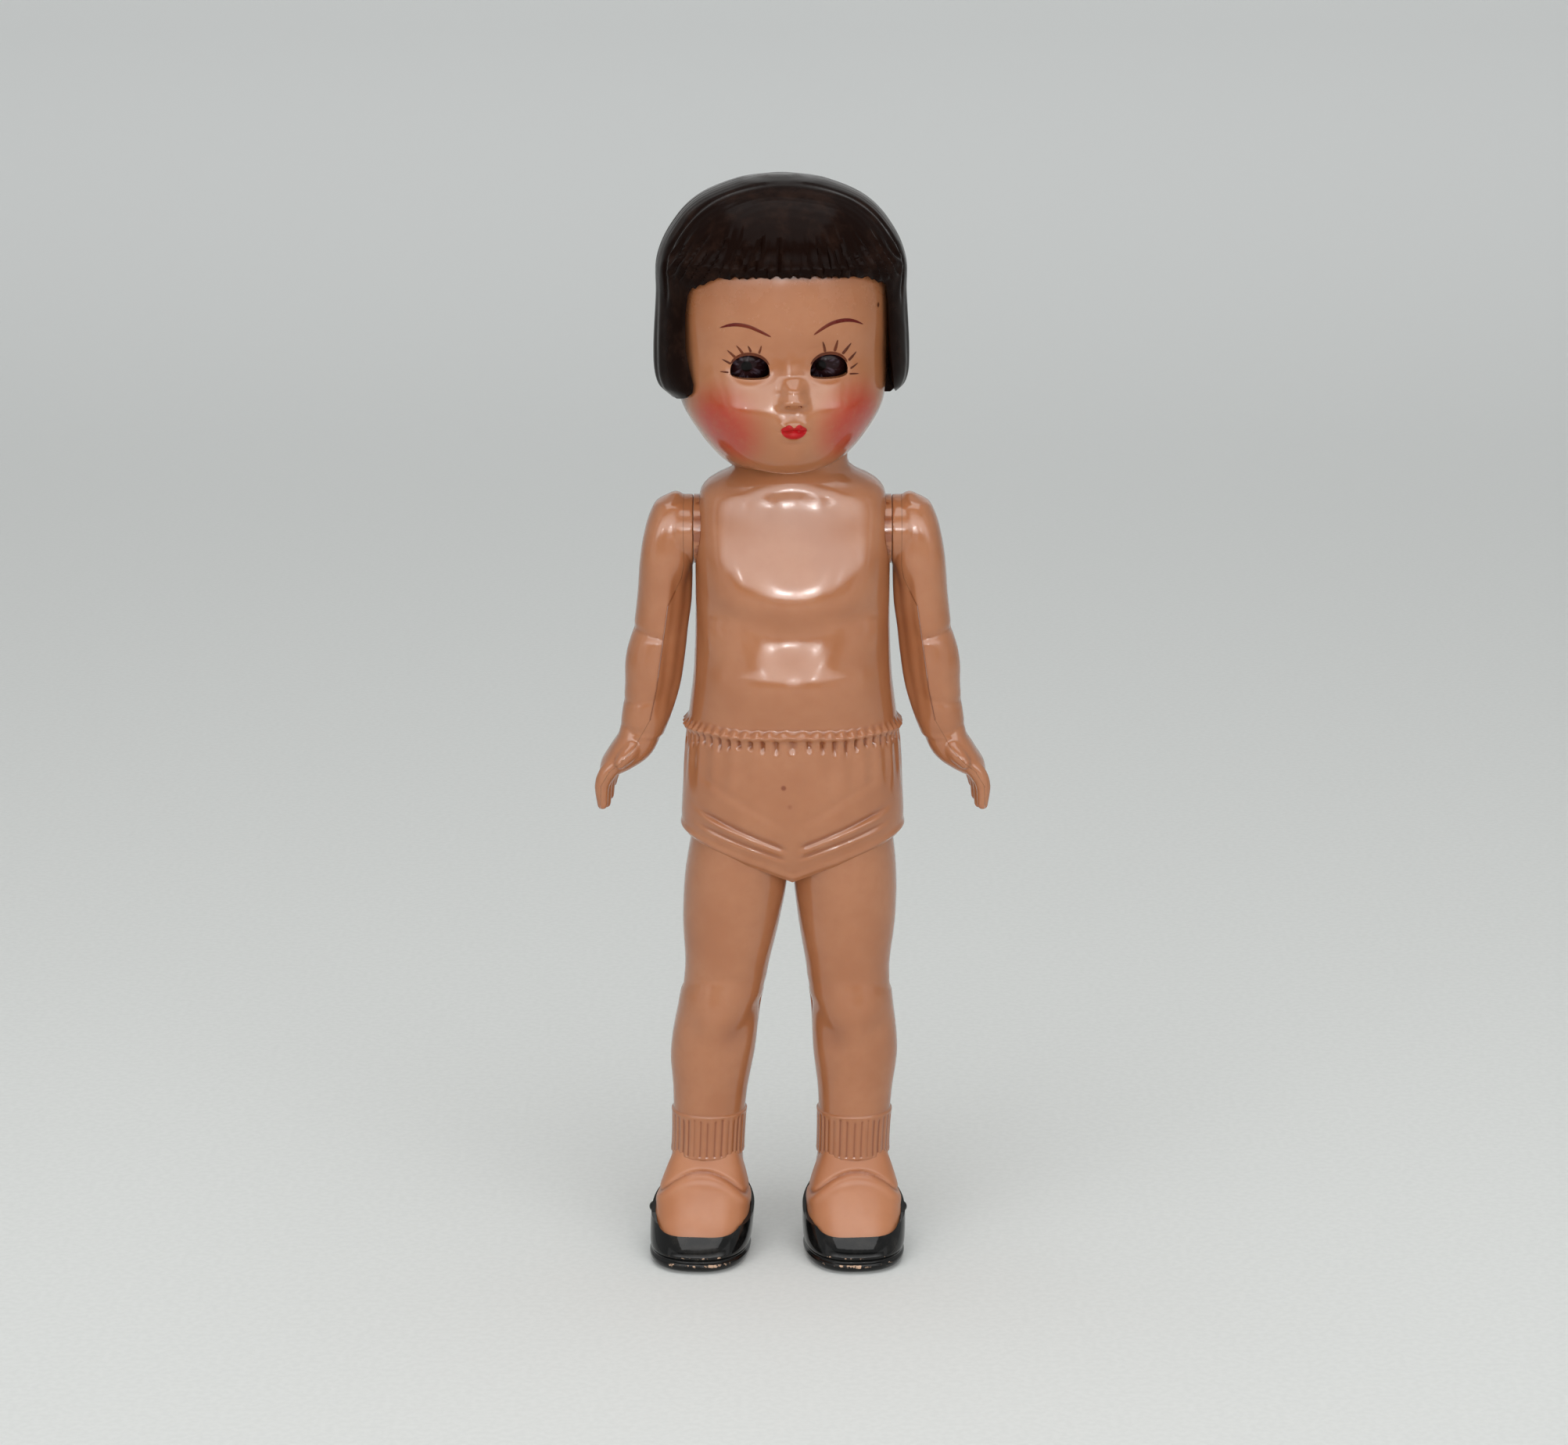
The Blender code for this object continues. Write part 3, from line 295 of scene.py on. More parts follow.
def ring_points(levels, heights, angles, relief):
    """Points of rounded oblong rings; relief(x, y, z, angle) adds reach to the plain section."""
    height, half, front, back, square, across = np.hsplit(through(levels, heights), 6)
    c = power_of(np.cos(angles)[None, :], 2.0 / square)
    s = power_of(np.sin(angles)[None, :], 2.0 / square)
    depth = np.where(s > 0, back, front)
    x, y = half * c, depth * s
    z = np.broadcast_to(height, x.shape)
    reach = relief(x, y, z, angles[None, :])
    return np.stack([across + (half + reach) * c, (depth + reach) * s, z], axis=-1)


def room_points(levels, start, stop, wall, rings=24, columns=64):
    """Points of the room inside a section table, a wall's thickness in."""
    heights = np.linspace(start, stop, rings)
    return ring_points(levels, heights, turns(columns), lambda x, y, z, a: -wall + 0 * x)


def foot_points(levels, heights, angles, inset=0.0, relief=None, square=0.8):
    """Points of foot rings, wide at the ball and narrower at the heel."""
    height, toe, heel, ball, heel_width = np.hsplit(through(levels, heights), 5)
    c = power_of(np.cos(angles)[None, :], square)
    s = power_of(np.sin(angles)[None, :], square)
    widest = 0.36 * toe
    width = ball + (heel_width - ball) * ease(s, 0.0, 1.0) - inset
    reach = np.where(s > 0, heel + widest, toe - widest) - inset
    x, y = width * c, reach * s - widest
    z = np.broadcast_to(height, x.shape)
    if relief is not None:
        add = relief(x, y, z)
        x, y = x + add * c, y + add * s
    return np.stack([x, y, z], axis=-1)


def turned(points, angle, across=0.0, rise=0.0):
    """Points turned about the upright axis, then moved."""
    x = points[..., 0] * math.cos(angle) - points[..., 1] * math.sin(angle) + across
    y = points[..., 0] * math.sin(angle) + points[..., 1] * math.cos(angle)
    return np.stack([x, y, points[..., 2] + rise], axis=-1)


def on_head(points):
    return turned(points, HEAD_TURN, HEAD_ASIDE, SHOULDER)


def head_point(x, y, z):
    """One place on the head, turned and moved with it."""
    return on_head(np.array([[x, y, z]]))[0]


def aslant(points):
    """Leg points with the legs' lean."""
    moved = points.copy()
    moved[..., 0] += LEG_SLANT * (points[..., 2] - SLANT_START)
    return moved


def sided_name(side, part):
    return f"left_{part}" if side > 0 else f"right_{part}"


def sided(points, side):
    moved = points.copy()
    moved[..., 0] *= side
    return moved


# Mesh aids.


def deselect():
    bpy.ops.object.select_all(action="DESELECT")


def positions(mesh):
    spots = np.empty(3 * len(mesh.vertices))
    mesh.vertices.foreach_get("co", spots)
    return spots.reshape(-1, 3)


def place_points(piece, places):
    """Moves a piece's points to their places in metres."""
    piece.data.vertices.foreach_set("co", places.ravel())
    piece.data.update()


def edge_ends(mesh):
    ends = np.empty(2 * len(mesh.edges), int)
    mesh.edges.foreach_get("vertices", ends)
    return ends.reshape(-1, 2).T


def make_active(piece):
    deselect()
    piece.select_set(True)
    bpy.context.view_layer.objects.active = piece


def edit_all(piece, tool, **values):
    """Uses an edit-mode tool on all of a piece."""
    make_active(piece)
    bpy.ops.object.mode_set(mode="EDIT")
    bpy.ops.mesh.select_all(action="SELECT")
    tool(**values)
    bpy.ops.object.mode_set(mode="OBJECT")


def outward(piece):
    """Turns all faces of a closed piece outwards."""
    edit_all(piece, bpy.ops.mesh.normals_make_consistent, inside=False)


def loft(name, points):
    """A closed tube, cut into rings, whose rings take the given places in millimetres."""
    rings, columns = points.shape[:2]
    deselect()
    bpy.ops.mesh.primitive_cylinder_add(vertices=columns, radius=1.0, depth=1.0, end_fill_type="TRIFAN")
    piece = bpy.context.object
    piece.name = name
    mesh = piece.data
    heights = positions(mesh)[:, 2]
    a, b = edge_ends(mesh)
    upright = heights[a] * heights[b] < 0
    bpy.ops.object.mode_set(mode="EDIT")
    bpy.ops.mesh.select_mode(type="EDGE")
    bpy.ops.mesh.select_all(action="DESELECT")
    bpy.ops.object.mode_set(mode="OBJECT")
    mesh.edges.foreach_set("select", upright)
    bpy.ops.object.mode_set(mode="EDIT")
    bpy.ops.mesh.subdivide_edgering(number_cuts=rings - 2, interpolation="LINEAR", smoothness=0.0)
    bpy.ops.object.mode_set(mode="OBJECT")
    spots = positions(mesh)
    ring = np.rint((spots[:, 2] + 0.5) * (rings - 1)).astype(int)
    turn = np.arctan2(spots[:, 1], spots[:, 0]) / (2 * math.pi) % 1.0
    column = np.rint(turn * columns).astype(int) % columns
    pole = np.hypot(spots[:, 0], spots[:, 1]) < 0.5
    placed = points[ring, column]
    for end in (0, rings - 1):
        placed[pole & (ring == end)] = points[end].mean(axis=0)
    place_points(piece, placed * MM)
    outward(piece)
    return piece


def prism(name, outline, start, stop, turn=0.0, across=0.0, rise=0.0):
    """A block with an outline across and up, between two depths, in millimetres."""
    line = np.array(outline, float)
    count = -(-len(line) // 4) * 4
    while len(line) < count:
        line = np.insert(line, 1, (line[0] + line[1]) / 2, axis=0)
    rings = []
    for depth in np.linspace(start, stop, 3):
        rings.append(np.stack([line[:, 0], np.full(count, depth), line[:, 1]], axis=-1))
    return loft(name, turned(np.array(rings), turn, across, rise))


def head_prism(name, outline, start, stop):
    """A block in the head's own frame."""
    return prism(name, outline, start, stop, HEAD_TURN, HEAD_ASIDE, SHOULDER)


def ball(name, centre, radius, columns, rings):
    """A round ball, from a tube whose ends close to points."""
    turn = turns(columns)[None, :]
    lift = np.linspace(-math.pi / 2 + 0.02, math.pi / 2 - 0.02, rings)[:, None]
    x = centre[0] + radius * np.cos(lift) * np.cos(turn)
    y = centre[1] + radius * np.cos(lift) * np.sin(turn)
    z = centre[2] + radius * np.sin(lift) * np.ones_like(turn)
    return loft(name, np.stack([x, y, z], axis=-1))


def rod_points(start, stop, y, z, radius, columns):
    """Rings of a round rod along the across axis."""
    turn = turns(columns)
    rings = []
    for x in np.linspace(start, stop, 3):
        rings.append(np.stack([np.full(columns, x), y + radius * np.cos(turn), z + radius * np.sin(turn)], axis=-1))
    return np.array(rings)


def shoulder_rod(name, start, stop, radius, columns):
    """A round rod on the shoulders' axis."""
    return loft(name, rod_points(start, stop, 0.0, SHOULDER, radius, columns))


def remove(piece):
    mesh = piece.data
    bpy.data.objects.remove(piece)
    bpy.data.meshes.remove(mesh)


def modify(piece, kind, **values):
    """Adds a modifier with the given values and applies it."""
    make_active(piece)
    change = piece.modifiers.new(kind.lower(), kind)
    for key, value in values.items():
        setattr(change, key, value)
    bpy.ops.object.modifier_apply(modifier=change.name)


def combine(piece, tool, operation):
    modify(piece, "BOOLEAN", object=tool, operation=operation, solver="MANIFOLD")
    remove(tool)


def cut(piece, *tools):
    for tool in tools:
        combine(piece, tool, "DIFFERENCE")


def join(piece, *tools):
    for tool in tools:
        combine(piece, tool, "UNION")


def copy_of(piece, name):
    make_active(piece)
    bpy.ops.object.duplicate(linked=False)
    made = bpy.context.object
    made.name = name
    return made


def mirrored(piece, name):
    made = copy_of(piece, name)
    spots = positions(made.data)
    spots[:, 0] *= -1.0
    place_points(made, spots)
    edit_all(made, bpy.ops.mesh.flip_normals)
    return made


def mark_hollows(piece, line):
    """Stores at every point how hollow the surface is: above nought in creases and on a parting line."""
    mesh = piece.data
    count = len(mesh.vertices)
    spots = positions(mesh)
    a, b = edge_ends(mesh)
    normals = np.empty(3 * count)
    mesh.vertex_normals.foreach_get("vector", normals)
    normals = normals.reshape(-1, 3)
    lengths = np.linalg.norm(spots[a] - spots[b], axis=1)
    use = lengths < 2.5 * MM
    a, b, lengths = a[use], b[use], lengths[use]
    near = np.maximum(np.bincount(a, minlength=count) + np.bincount(b, minlength=count), 1)
    bend = np.einsum("ij,ij->i", spots[b] - spots[a], normals[a]) / np.maximum(lengths, 1e-6) ** 2
    back = np.einsum("ij,ij->i", spots[a] - spots[b], normals[b]) / np.maximum(lengths, 1e-6) ** 2
    hollow = np.bincount(a, bend, count) + np.bincount(b, back, count)
    hollow = hollow / near * MM
    for _ in range(HOLLOW_PASSES):
        total = np.bincount(a, hollow[b], count) + np.bincount(b, hollow[a], count)
        hollow = 0.4 * hollow + 0.6 * total / near
    if line is not None:
        away = np.full(count, 9.0)
        for start, stop in zip(line[:-1], line[1:]):
            start, run = np.array(start), np.array(stop) - np.array(start)
            place = np.stack([np.abs(spots[:, 0]), spots[:, 2]], axis=-1) / MM - start
            share = np.clip(place @ run / (run @ run), 0.0, 1.0)
            away = np.minimum(away, np.linalg.norm(place - share[:, None] * run, axis=1))
        hollow = np.maximum(hollow, 0.3 * bell(away, 0.0, 0.2))
    attribute = mesh.attributes.new("hollow", "FLOAT", "POINT")
    attribute.data.foreach_set("value", np.clip(hollow, -1.0, 1.0))


def settle(piece, body, material, nodes, angle=40.0, line=None):
    """Smooth shading, the hollows' map, the material, and the piece's place in the frame."""
    make_active(piece)
    bpy.ops.object.shade_smooth_by_angle(angle=math.radians(angle))
    mark_hollows(piece, line)
    piece.data.materials.clear()
    piece.data.materials.append(material)
    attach(piece, body)
    if nodes:
        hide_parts(*nodes)


# Material aids.


def feed(tree, socket, value):
    """Links a socket to another one, or sets its value."""
    if isinstance(value, bpy.types.NodeSocket):
        tree.links.new(value, socket)
    elif socket.type == "RGBA":
        socket.default_value = (*value[:3], 1.0)
    else:
        socket.default_value = value


def feed_all(tree, node, values):
    for key, value in values.items():
        feed(tree, node.inputs[key], value)


def add(tree, kind, values=None, **settings):
    """A node with its settings; a value that is a socket is linked."""
    made = tree.nodes.new(kind)
    for key, value in settings.items():
        setattr(made, key, value)
    feed_all(tree, made, values or {})
    return made


def maths(tree, operation, *values):
    return add(tree, "ShaderNodeMath", dict(enumerate(values)), operation=operation).outputs[0]


def mix(tree, share, low, high, blend="MIX"):
    values = {0: share, 6: low, 7: high}
    return add(tree, "ShaderNodeMix", values, data_type="RGBA", blend_type=blend).outputs[2]


def ramp(tree, value, start, stop, low=0.0, high=1.0):
    values = {0: value, 1: start, 2: stop, 3: low, 4: high}
    return add(tree, "ShaderNodeMapRange", values, interpolation_type="SMOOTHSTEP").outputs[0]


def noise(tree, place, scale, detail=3.0, roughness=0.5):
    made = add(tree, "ShaderNodeTexNoise", {"Vector": place, "Scale": scale, "Detail": detail, "Roughness": roughness})
    return made.outputs[0]


def times(tree, *values):
    return maths(tree, "MULTIPLY", *values)


def plus(tree, *values):
    return maths(tree, "ADD", *values)


def object_place(tree):
    return add(tree, "ShaderNodeTexCoord").outputs["Object"]


def axes(tree, place):
    return add(tree, "ShaderNodeSeparateXYZ", {0: place}).outputs


def hollow_map(tree):
    """The hollows' map that settle stores on each piece."""
    return add(tree, "ShaderNodeAttribute", attribute_name="hollow").outputs["Fac"]


def spot(tree, place, centre, radius, inner):
    """A soft round mask about a point given in metres."""
    away = add(tree, "ShaderNodeVectorMath", {0: place, 1: centre}, operation="DISTANCE").outputs["Value"]
    return ramp(tree, away, inner * radius, radius, 1.0, 0.0)


def new_group(name, inputs):
    """A node group that puts out a colour, a roughness and a normal."""
    group = bpy.data.node_groups.new(name, "ShaderNodeTree")
    for label, kind, default in inputs:
        socket = group.interface.new_socket(label, in_out="INPUT", socket_type=kind)
        socket.default_value = default
    outputs = (("Color", "NodeSocketColor"), ("Roughness", "NodeSocketFloat"), ("Normal", "NodeSocketVector"))
    for label, kind in outputs:
        group.interface.new_socket(label, in_out="OUTPUT", socket_type=kind)
    start = group.nodes.new("NodeGroupInput")
    end = group.nodes.new("NodeGroupOutput")
    return group, start.outputs, end.inputs


def celluloid_group():
    """Flesh celluloid: mottled tone, painted red shade in the creases, a dirty seam, specks and a slightly wavy skin.
    """
    group, given, out = new_group(
        "Flesh celluloid",
        (
            ("Tone", "NodeSocketColor", (0.6, 0.3, 0.16, 1.0)),
            ("Crease", "NodeSocketColor", (0.3, 0.09, 0.03, 1.0)),
            ("Crease Amount", "NodeSocketFloat", 0.7),
            ("Roughness", "NodeSocketFloat", 0.15),
        ),
    )
    place = object_place(group)
    broad = noise(group, place, 90.0, 3.0)
    fine = noise(group, place, 520.0, 4.0, 0.6)
    pale = mix(group, 1.0, given["Tone"], (1.07, 1.09, 1.12), "MULTIPLY")
    warm = mix(group, 1.0, given["Tone"], (0.96, 0.91, 0.86), "MULTIPLY")
    tone = mix(group, ramp(group, broad, 0.35, 0.65), warm, pale)
    tone = mix(group, ramp(group, fine, 0.4, 0.72, 0.0, 0.35), tone, warm)
    hollow = hollow_map(group)
    # Painted shade: creases are darkened towards the Crease colour, where shade falls in them.
    crease = times(group, ramp(group, hollow, 0.03, 0.4), given["Crease Amount"])
    tone = mix(group, crease, tone, given["Crease"])
    # Paler on raised ridges, where the hollows' map is below nought.
    pale_ridges = ramp(group, hollow, -0.12, -0.5, 0.0, 0.22)
    tone = mix(group, pale_ridges, tone, pale)
    beside = maths(group, "ABSOLUTE", axes(group, place)[1])
    ragged = times(group, noise(group, place, 380.0, 2.0), 0.00034)
    seam = maths(group, "SUBTRACT", beside, ragged)
    seam = ramp(group, seam, -0.00006, 0.0001, 0.45, 0.0)
    tone = mix(group, seam, tone, given["Crease"])
    specks = add(group, "ShaderNodeTexVoronoi", {"Vector": place, "Scale": 210.0, "Randomness": 1.0})
    size = times(group, ramp(group, noise(group, place, 130.0, 1.0), 0.66, 0.76), 0.06)
    speck = ramp(group, maths(group, "SUBTRACT", specks.outputs["Distance"], size), -0.02, 0.0, 0.6, 0.0)
    tone = mix(group, speck, tone, (0.12, 0.04, 0.02))
    group.links.new(tone, out["Color"])
    dull = ramp(group, noise(group, place, 240.0, 5.0, 0.7), 0.42, 0.75, -0.03, 0.12)
    group.links.new(plus(group, given["Roughness"], dull), out["Roughness"])
    broad_waves = noise(group, place, 120.0, 1.0)
    waves = add(group, "ShaderNodeBump", {"Strength": 0.4, "Distance": 0.0002, "Height": broad_waves})
    skin = add(
        group,
        "ShaderNodeBump",
        {"Strength": 0.25, "Distance": 0.00003, "Height": fine, "Normal": waves.outputs[0]},
    )
    group.links.new(skin.outputs[0], out["Normal"])
    return group


def gloss_paint_group():
    """Old gloss paint: uneven coat, rubbed ridges, and flesh that shows where it has chipped."""
    group, given, out = new_group(
        "Old gloss paint",
        (
            ("Paint", "NodeSocketColor", (0.02, 0.01, 0.006, 1.0)),
            ("Thin Paint", "NodeSocketColor", (0.05, 0.02, 0.01, 1.0)),
            ("Bare", "NodeSocketColor", (0.55, 0.3, 0.18, 1.0)),
            ("Chip Mask", "NodeSocketFloat", 0.0),
            ("Roughness", "NodeSocketFloat", 0.22),
        ),
    )
    place = object_place(group)
    coat = noise(group, place, 260.0, 4.0, 0.6)
    tone = mix(group, ramp(group, coat, 0.45, 0.75), given["Paint"], given["Thin Paint"])
    hollow = hollow_map(group)
    rubbed = times(group, ramp(group, hollow, -0.15, -0.8), ramp(group, coat, 0.4, 0.6))
    tone = mix(group, times(group, rubbed, 0.7), tone, given["Thin Paint"])
    grit = noise(group, place, 1200.0, 5.0, 0.65)
    chip = plus(group, given["Chip Mask"], times(group, grit, 0.9))
    chip = ramp(group, chip, 1.0, 1.08)
    tone = mix(group, chip, tone, given["Bare"])
    group.links.new(tone, out["Color"])
    dull = ramp(group, noise(group, place, 340.0, 5.0, 0.7), 0.42, 0.8, -0.03, 0.14)
    rough = plus(group, plus(group, given["Roughness"], dull), times(group, chip, 0.25))
    group.links.new(rough, out["Roughness"])
    height = maths(group, "SUBTRACT", times(group, coat, 0.5), chip)
    skin = add(group, "ShaderNodeBump", {"Strength": 0.4, "Distance": 0.00013, "Height": height})
    group.links.new(skin.outputs[0], out["Normal"])
    return group


def new_material(name):
    material = bpy.data.materials.new(name)
    material.use_nodes = True
    tree = material.node_tree
    return material, tree, tree.nodes["Principled BSDF"]


def use_group(tree, group, values):
    return add(tree, "ShaderNodeGroup", values, node_tree=group).outputs


def finish_shader(tree, shader, looks, specular, color=None, rough=None):
    values = {
        "Base Color": color or looks["Color"],
        "Roughness": rough or looks["Roughness"],
        "Normal": looks["Normal"],
        "Specular IOR Level": specular,
    }
    feed_all(tree, shader, values)


def finish(name):
    """A finish by its name, made on first use."""
    found = bpy.data.materials.get(name)
    return found or FINISHES[name](name)


def group_of(name):
    found = bpy.data.node_groups.get(name)
    return found or {"Flesh celluloid": celluloid_group, "Old gloss paint": gloss_paint_group}[name]()


def let_light_in(tree, shader):
    """Thin celluloid takes a little light under its surface."""
    depth = {"Subsurface Weight": 0.12, "Subsurface Radius": (0.004, 0.0016, 0.0008), "Subsurface Scale": 0.5}
    feed_all(tree, shader, depth)


def flesh(name):
    """Plain flesh of trunk, legs and arms."""
    colours = bpy.context.scene.doll_colours
    material, tree, shader = new_material(name)
    values = {"Tone": colours.flesh, "Crease": colours.flesh_shade_and_dirt}
    if name == "sock_flesh":
        values["Roughness"] = 0.38
        values["Tone"] = tuple(1.16 * part for part in colours.flesh)
    looks = use_group(tree, group_of("Flesh celluloid"), values)
    place = object_place(tree)
    color = looks["Color"]
    # Dark dots on the brief, and painted shade in the knees' dimples.
    for centre, radius, inner, share in DOTS_AND_KNEE_SHADE:
        mark = times(tree, spot(tree, place, tuple(MM * v for v in centre), radius * MM, inner), share)
        color = mix(tree, mark, color, colours.flesh_shade_and_dirt)
    finish_shader(tree, shader, looks, 0.7, color)
    let_light_in(tree, shader)
    return material


def face_flesh(name):
    """Flesh of the head, with sprayed cheeks and a soft red painted shadow under the fringe and beside the locks."""
    colours = bpy.context.scene.doll_colours
    material, tree, shader = new_material(name)
    values = {"Tone": colours.flesh, "Crease": colours.flesh_shade_and_dirt, "Crease Amount": 0.55}
    looks = use_group(tree, group_of("Flesh celluloid"), values)
    place = object_place(tree)
    color = looks["Color"]
    for x, z in ((-10.5, 18.7), (10.6, 19.2)):
        centre = head_point(x, float(face_surface(x, z)), z) * MM
        soft = spot(tree, place, tuple(centre), 0.0092, 0.28)
        grain = ramp(tree, noise(tree, place, 700.0, 4.0, 0.7), 0.2, 0.6, 0.75, 1.0)
        share = times(tree, soft, grain)
        color = mix(tree, times(tree, share, 0.97), color, colours.blush)
    # Painted shadow: a dark red edge under the fringe and along the locks' inner edges, where the hair shades the
    # face.
    across, _, height = axes(tree, place)
    ragged = times(tree, noise(tree, place, 300.0, 2.0), 0.0016)
    edge = ramp(tree, plus(tree, height, ragged), 0.1645, 0.1658, 0.0, 0.9)
    beside = maths(tree, "MAXIMUM", ramp(tree, across, -0.0163, -0.0176), ramp(tree, across, 0.0142, 0.0152))
    edge = maths(tree, "MAXIMUM", edge, times(tree, beside, 0.6))
    color = mix(tree, edge, color, (0.035, 0.005, 0.003))
    mole = head_point(14.5, float(face_surface(14.5, 37.7)), 37.7) * MM
    color = mix(tree, spot(tree, place, tuple(mole), 0.0005, 0.5), color, colours.lash)
    dull = ramp(tree, height, 0.150, 0.1635, 0.0, 0.14)
    finish_shader(tree, shader, looks, 0.6, color, plus(tree, looks["Roughness"], dull))
    let_light_in(tree, shader)
    return material


def hair_paint(name):
    colours = bpy.context.scene.doll_colours
    material, tree, shader = new_material(name)
    values = {"Paint": colours.hair, "Thin Paint": colours.hair_thin, "Bare": colours.flesh, "Roughness": 0.19}
    looks = use_group(tree, group_of("Old gloss paint"), values)
    finish_shader(tree, shader, looks, 0.035)
    return material


def shoe_paint(name):
    """Black gloss, chipped to the flesh along the toe's edge."""
    colours = bpy.context.scene.doll_colours
    material, tree, shader = new_material(name)
    place = object_place(tree)
    _, along, height = axes(tree, place)
    toe = ramp(tree, along, -0.0135, -0.0172)
    low = maths(tree, "SUBTRACT", 1.0, ramp(tree, height, 0.0022, 0.0042))
    hollow = hollow_map(tree)
    ridge = ramp(tree, hollow, -0.05, -0.5, 0.0, 0.2)
    patch = ramp(tree, noise(tree, place, 210.0, 2.0), 0.5, 0.72, 0.0, 0.2)
    mask = times(tree, times(tree, toe, low), plus(tree, patch, ridge))
    mask = plus(tree, mask, times(tree, low, 0.1))
    mask = plus(tree, mask, 0.22)
    values = {
        "Paint": colours.shoe,
        "Thin Paint": colours.shoe_thin,
        "Bare": (0.58, 0.38, 0.26),
        "Chip Mask": mask,
        "Roughness": 0.09,
    }
    looks = use_group(tree, group_of("Old gloss paint"), values)
    finish_shader(tree, shader, looks, 0.3)
    return material


def stroke_paint(name):
    """Thin brushed paint of brows, lashes, lips and nostrils."""
    colours = bpy.context.scene.doll_colours
    tone = {"brow_paint": colours.brow, "lash_paint": colours.lash, "lip_paint": colours.lip}[name]
    thin = tuple(0.6 * a + 0.4 * b for a, b in zip(tone, colours.flesh_shade_and_dirt))
    material, tree, shader = new_material(name)
    values = {"Paint": tone, "Thin Paint": thin, "Bare": colours.flesh, "Roughness": 0.3}
    values["Chip Mask"] = 0.28 if name == "brow_paint" else 0.1
    looks = use_group(tree, group_of("Old gloss paint"), values)
    finish_shader(tree, shader, looks, 0.2)
    return material


def eye_finish(name):
    """Dark iris with pale streaks from the pupil, and a flesh lid above."""
    colours = bpy.context.scene.doll_colours
    material, tree, shader = new_material(name)
    side = 1 if name.startswith("left") else -1
    gaze = EYE_GAZE[side]
    centre = head_point(side * EYE_ACROSS, EYE_DEPTH, EYE_HEIGHT) * MM
    place = object_place(tree)
    away = add(tree, "ShaderNodeVectorMath", {0: place, 1: tuple(centre)}, operation="SUBTRACT").outputs[0]
    values = {"Vector": away, "Angle": -HEAD_TURN}
    own = add(tree, "ShaderNodeVectorRotate", values, rotation_type="Z_AXIS").outputs[0]
    across, depth, height = axes(tree, own)
    x = maths(tree, "SUBTRACT", across, gaze[0] * MM)
    z = maths(tree, "SUBTRACT", height, gaze[1] * MM)
    reach = maths(tree, "SQRT", plus(tree, times(tree, x, x), times(tree, z, z)))
    turn = maths(tree, "ARCTAN2", z, x)
    ray = add(tree, "ShaderNodeCombineXYZ", {0: turn, 1: times(tree, reach, 160.0)}).outputs[0]
    streak = ramp(tree, noise(tree, ray, 2.4, 2.0, 0.5), 0.5, 0.64)
    fade = times(tree, ramp(tree, reach, 0.0008, 0.0016), ramp(tree, reach, 0.0034, 0.0024))
    color = mix(tree, times(tree, streak, fade), colours.iris, colours.iris_streak)
    color = mix(tree, ramp(tree, reach, 0.00095, 0.00075), color, (0.002, 0.001, 0.001))
    rim = ramp(tree, reach, 0.0030, 0.0034)
    color = mix(tree, rim, color, (0.012, 0.004, 0.004))
    lid_edge = plus(tree, height, times(tree, depth, 0.45))
    lid = ramp(tree, lid_edge, 0.00092, 0.00112)
    looks = use_group(tree, group_of("Flesh celluloid"), {"Tone": colours.flesh, "Crease": colours.flesh_shade_and_dirt})
    color = mix(tree, lid, color, looks["Color"])
    values = {"Value": noise(tree, place, 900.0, 3.0), "To Min": 0.08, "To Max": 0.26}
    rough = add(tree, "ShaderNodeMapRange", values).outputs[0]
    finish_shader(tree, shader, looks, 0.15, color, rough)
    return material


def works_finish(name):
    """Finishes of the parts inside: woven elastic, drawn wire and cast lead."""
    base, thin, metal, rough, scale = {
        "elastic_cord": ((0.55, 0.48, 0.36), (0.36, 0.29, 0.2), 0.0, 0.75, 1400.0),
        "drawn_wire": ((0.5, 0.5, 0.51), (0.3, 0.28, 0.26), 1.0, 0.32, 800.0),
        "cast_lead": ((0.2, 0.2, 0.22), (0.34, 0.34, 0.36), 0.8, 0.55, 500.0),
    }[name]
    material, tree, shader = new_material(name)
    place = object_place(tree)
    grain = noise(tree, place, scale, 4.0, 0.6)
    weave = add(tree, "ShaderNodeTexWave", {"Vector": place, "Scale": scale, "Distortion": 1.5})
    height = plus(tree, times(tree, weave.outputs[1], 0.5), grain)
    skin = add(tree, "ShaderNodeBump", {"Strength": 0.4, "Distance": 0.00008, "Height": height})
    values = {
        "Base Color": mix(tree, ramp(tree, grain, 0.35, 0.7), base, thin),
        "Roughness": ramp(tree, grain, 0.3, 0.7, rough - 0.08, rough + 0.12),
        "Metallic": metal,
        "Normal": skin.outputs[0],
    }
    feed_all(tree, shader, values)
    return material


FINISHES = {
    "flesh": flesh,
    "sock_flesh": flesh,
    "face_flesh": face_flesh,
    "hair_paint": hair_paint,
    "shoe_paint": shoe_paint,
    "brow_paint": stroke_paint,
    "lash_paint": stroke_paint,
    "lip_paint": stroke_paint,
    "left_eye_paint": eye_finish,
    "right_eye_paint": eye_finish,
    "elastic_cord": works_finish,
    "drawn_wire": works_finish,
    "cast_lead": works_finish,
}

# Dark dots on the brief, and painted shade in the knees' dimples: place, radius, inner share, strength.
DOTS_AND_KNEE_SHADE = (
    ((-1.45, -12.6, 81.2), 0.6, 0.4, 0.95),
    ((-0.45, -12.5, 78.0), 0.6, 0.2, 0.5),
    ((6.4, -6.4, 37.4), 4.6, 0.0, 0.26),
    ((-9.0, -6.4, 37.4), 4.6, 0.0, 0.26),
)

# Where each iris sits on its ball, across and up from the ball's middle.
EYE_GAZE = {-1: (-0.35, -0.5), 1: (-1.1, -0.5)}


# The forms of the doll.


def seam_groove(y, depth=0.14):
    """The cemented seam along the sides, a hair deep."""
    return -depth * bell(y, 0.0, 0.16)


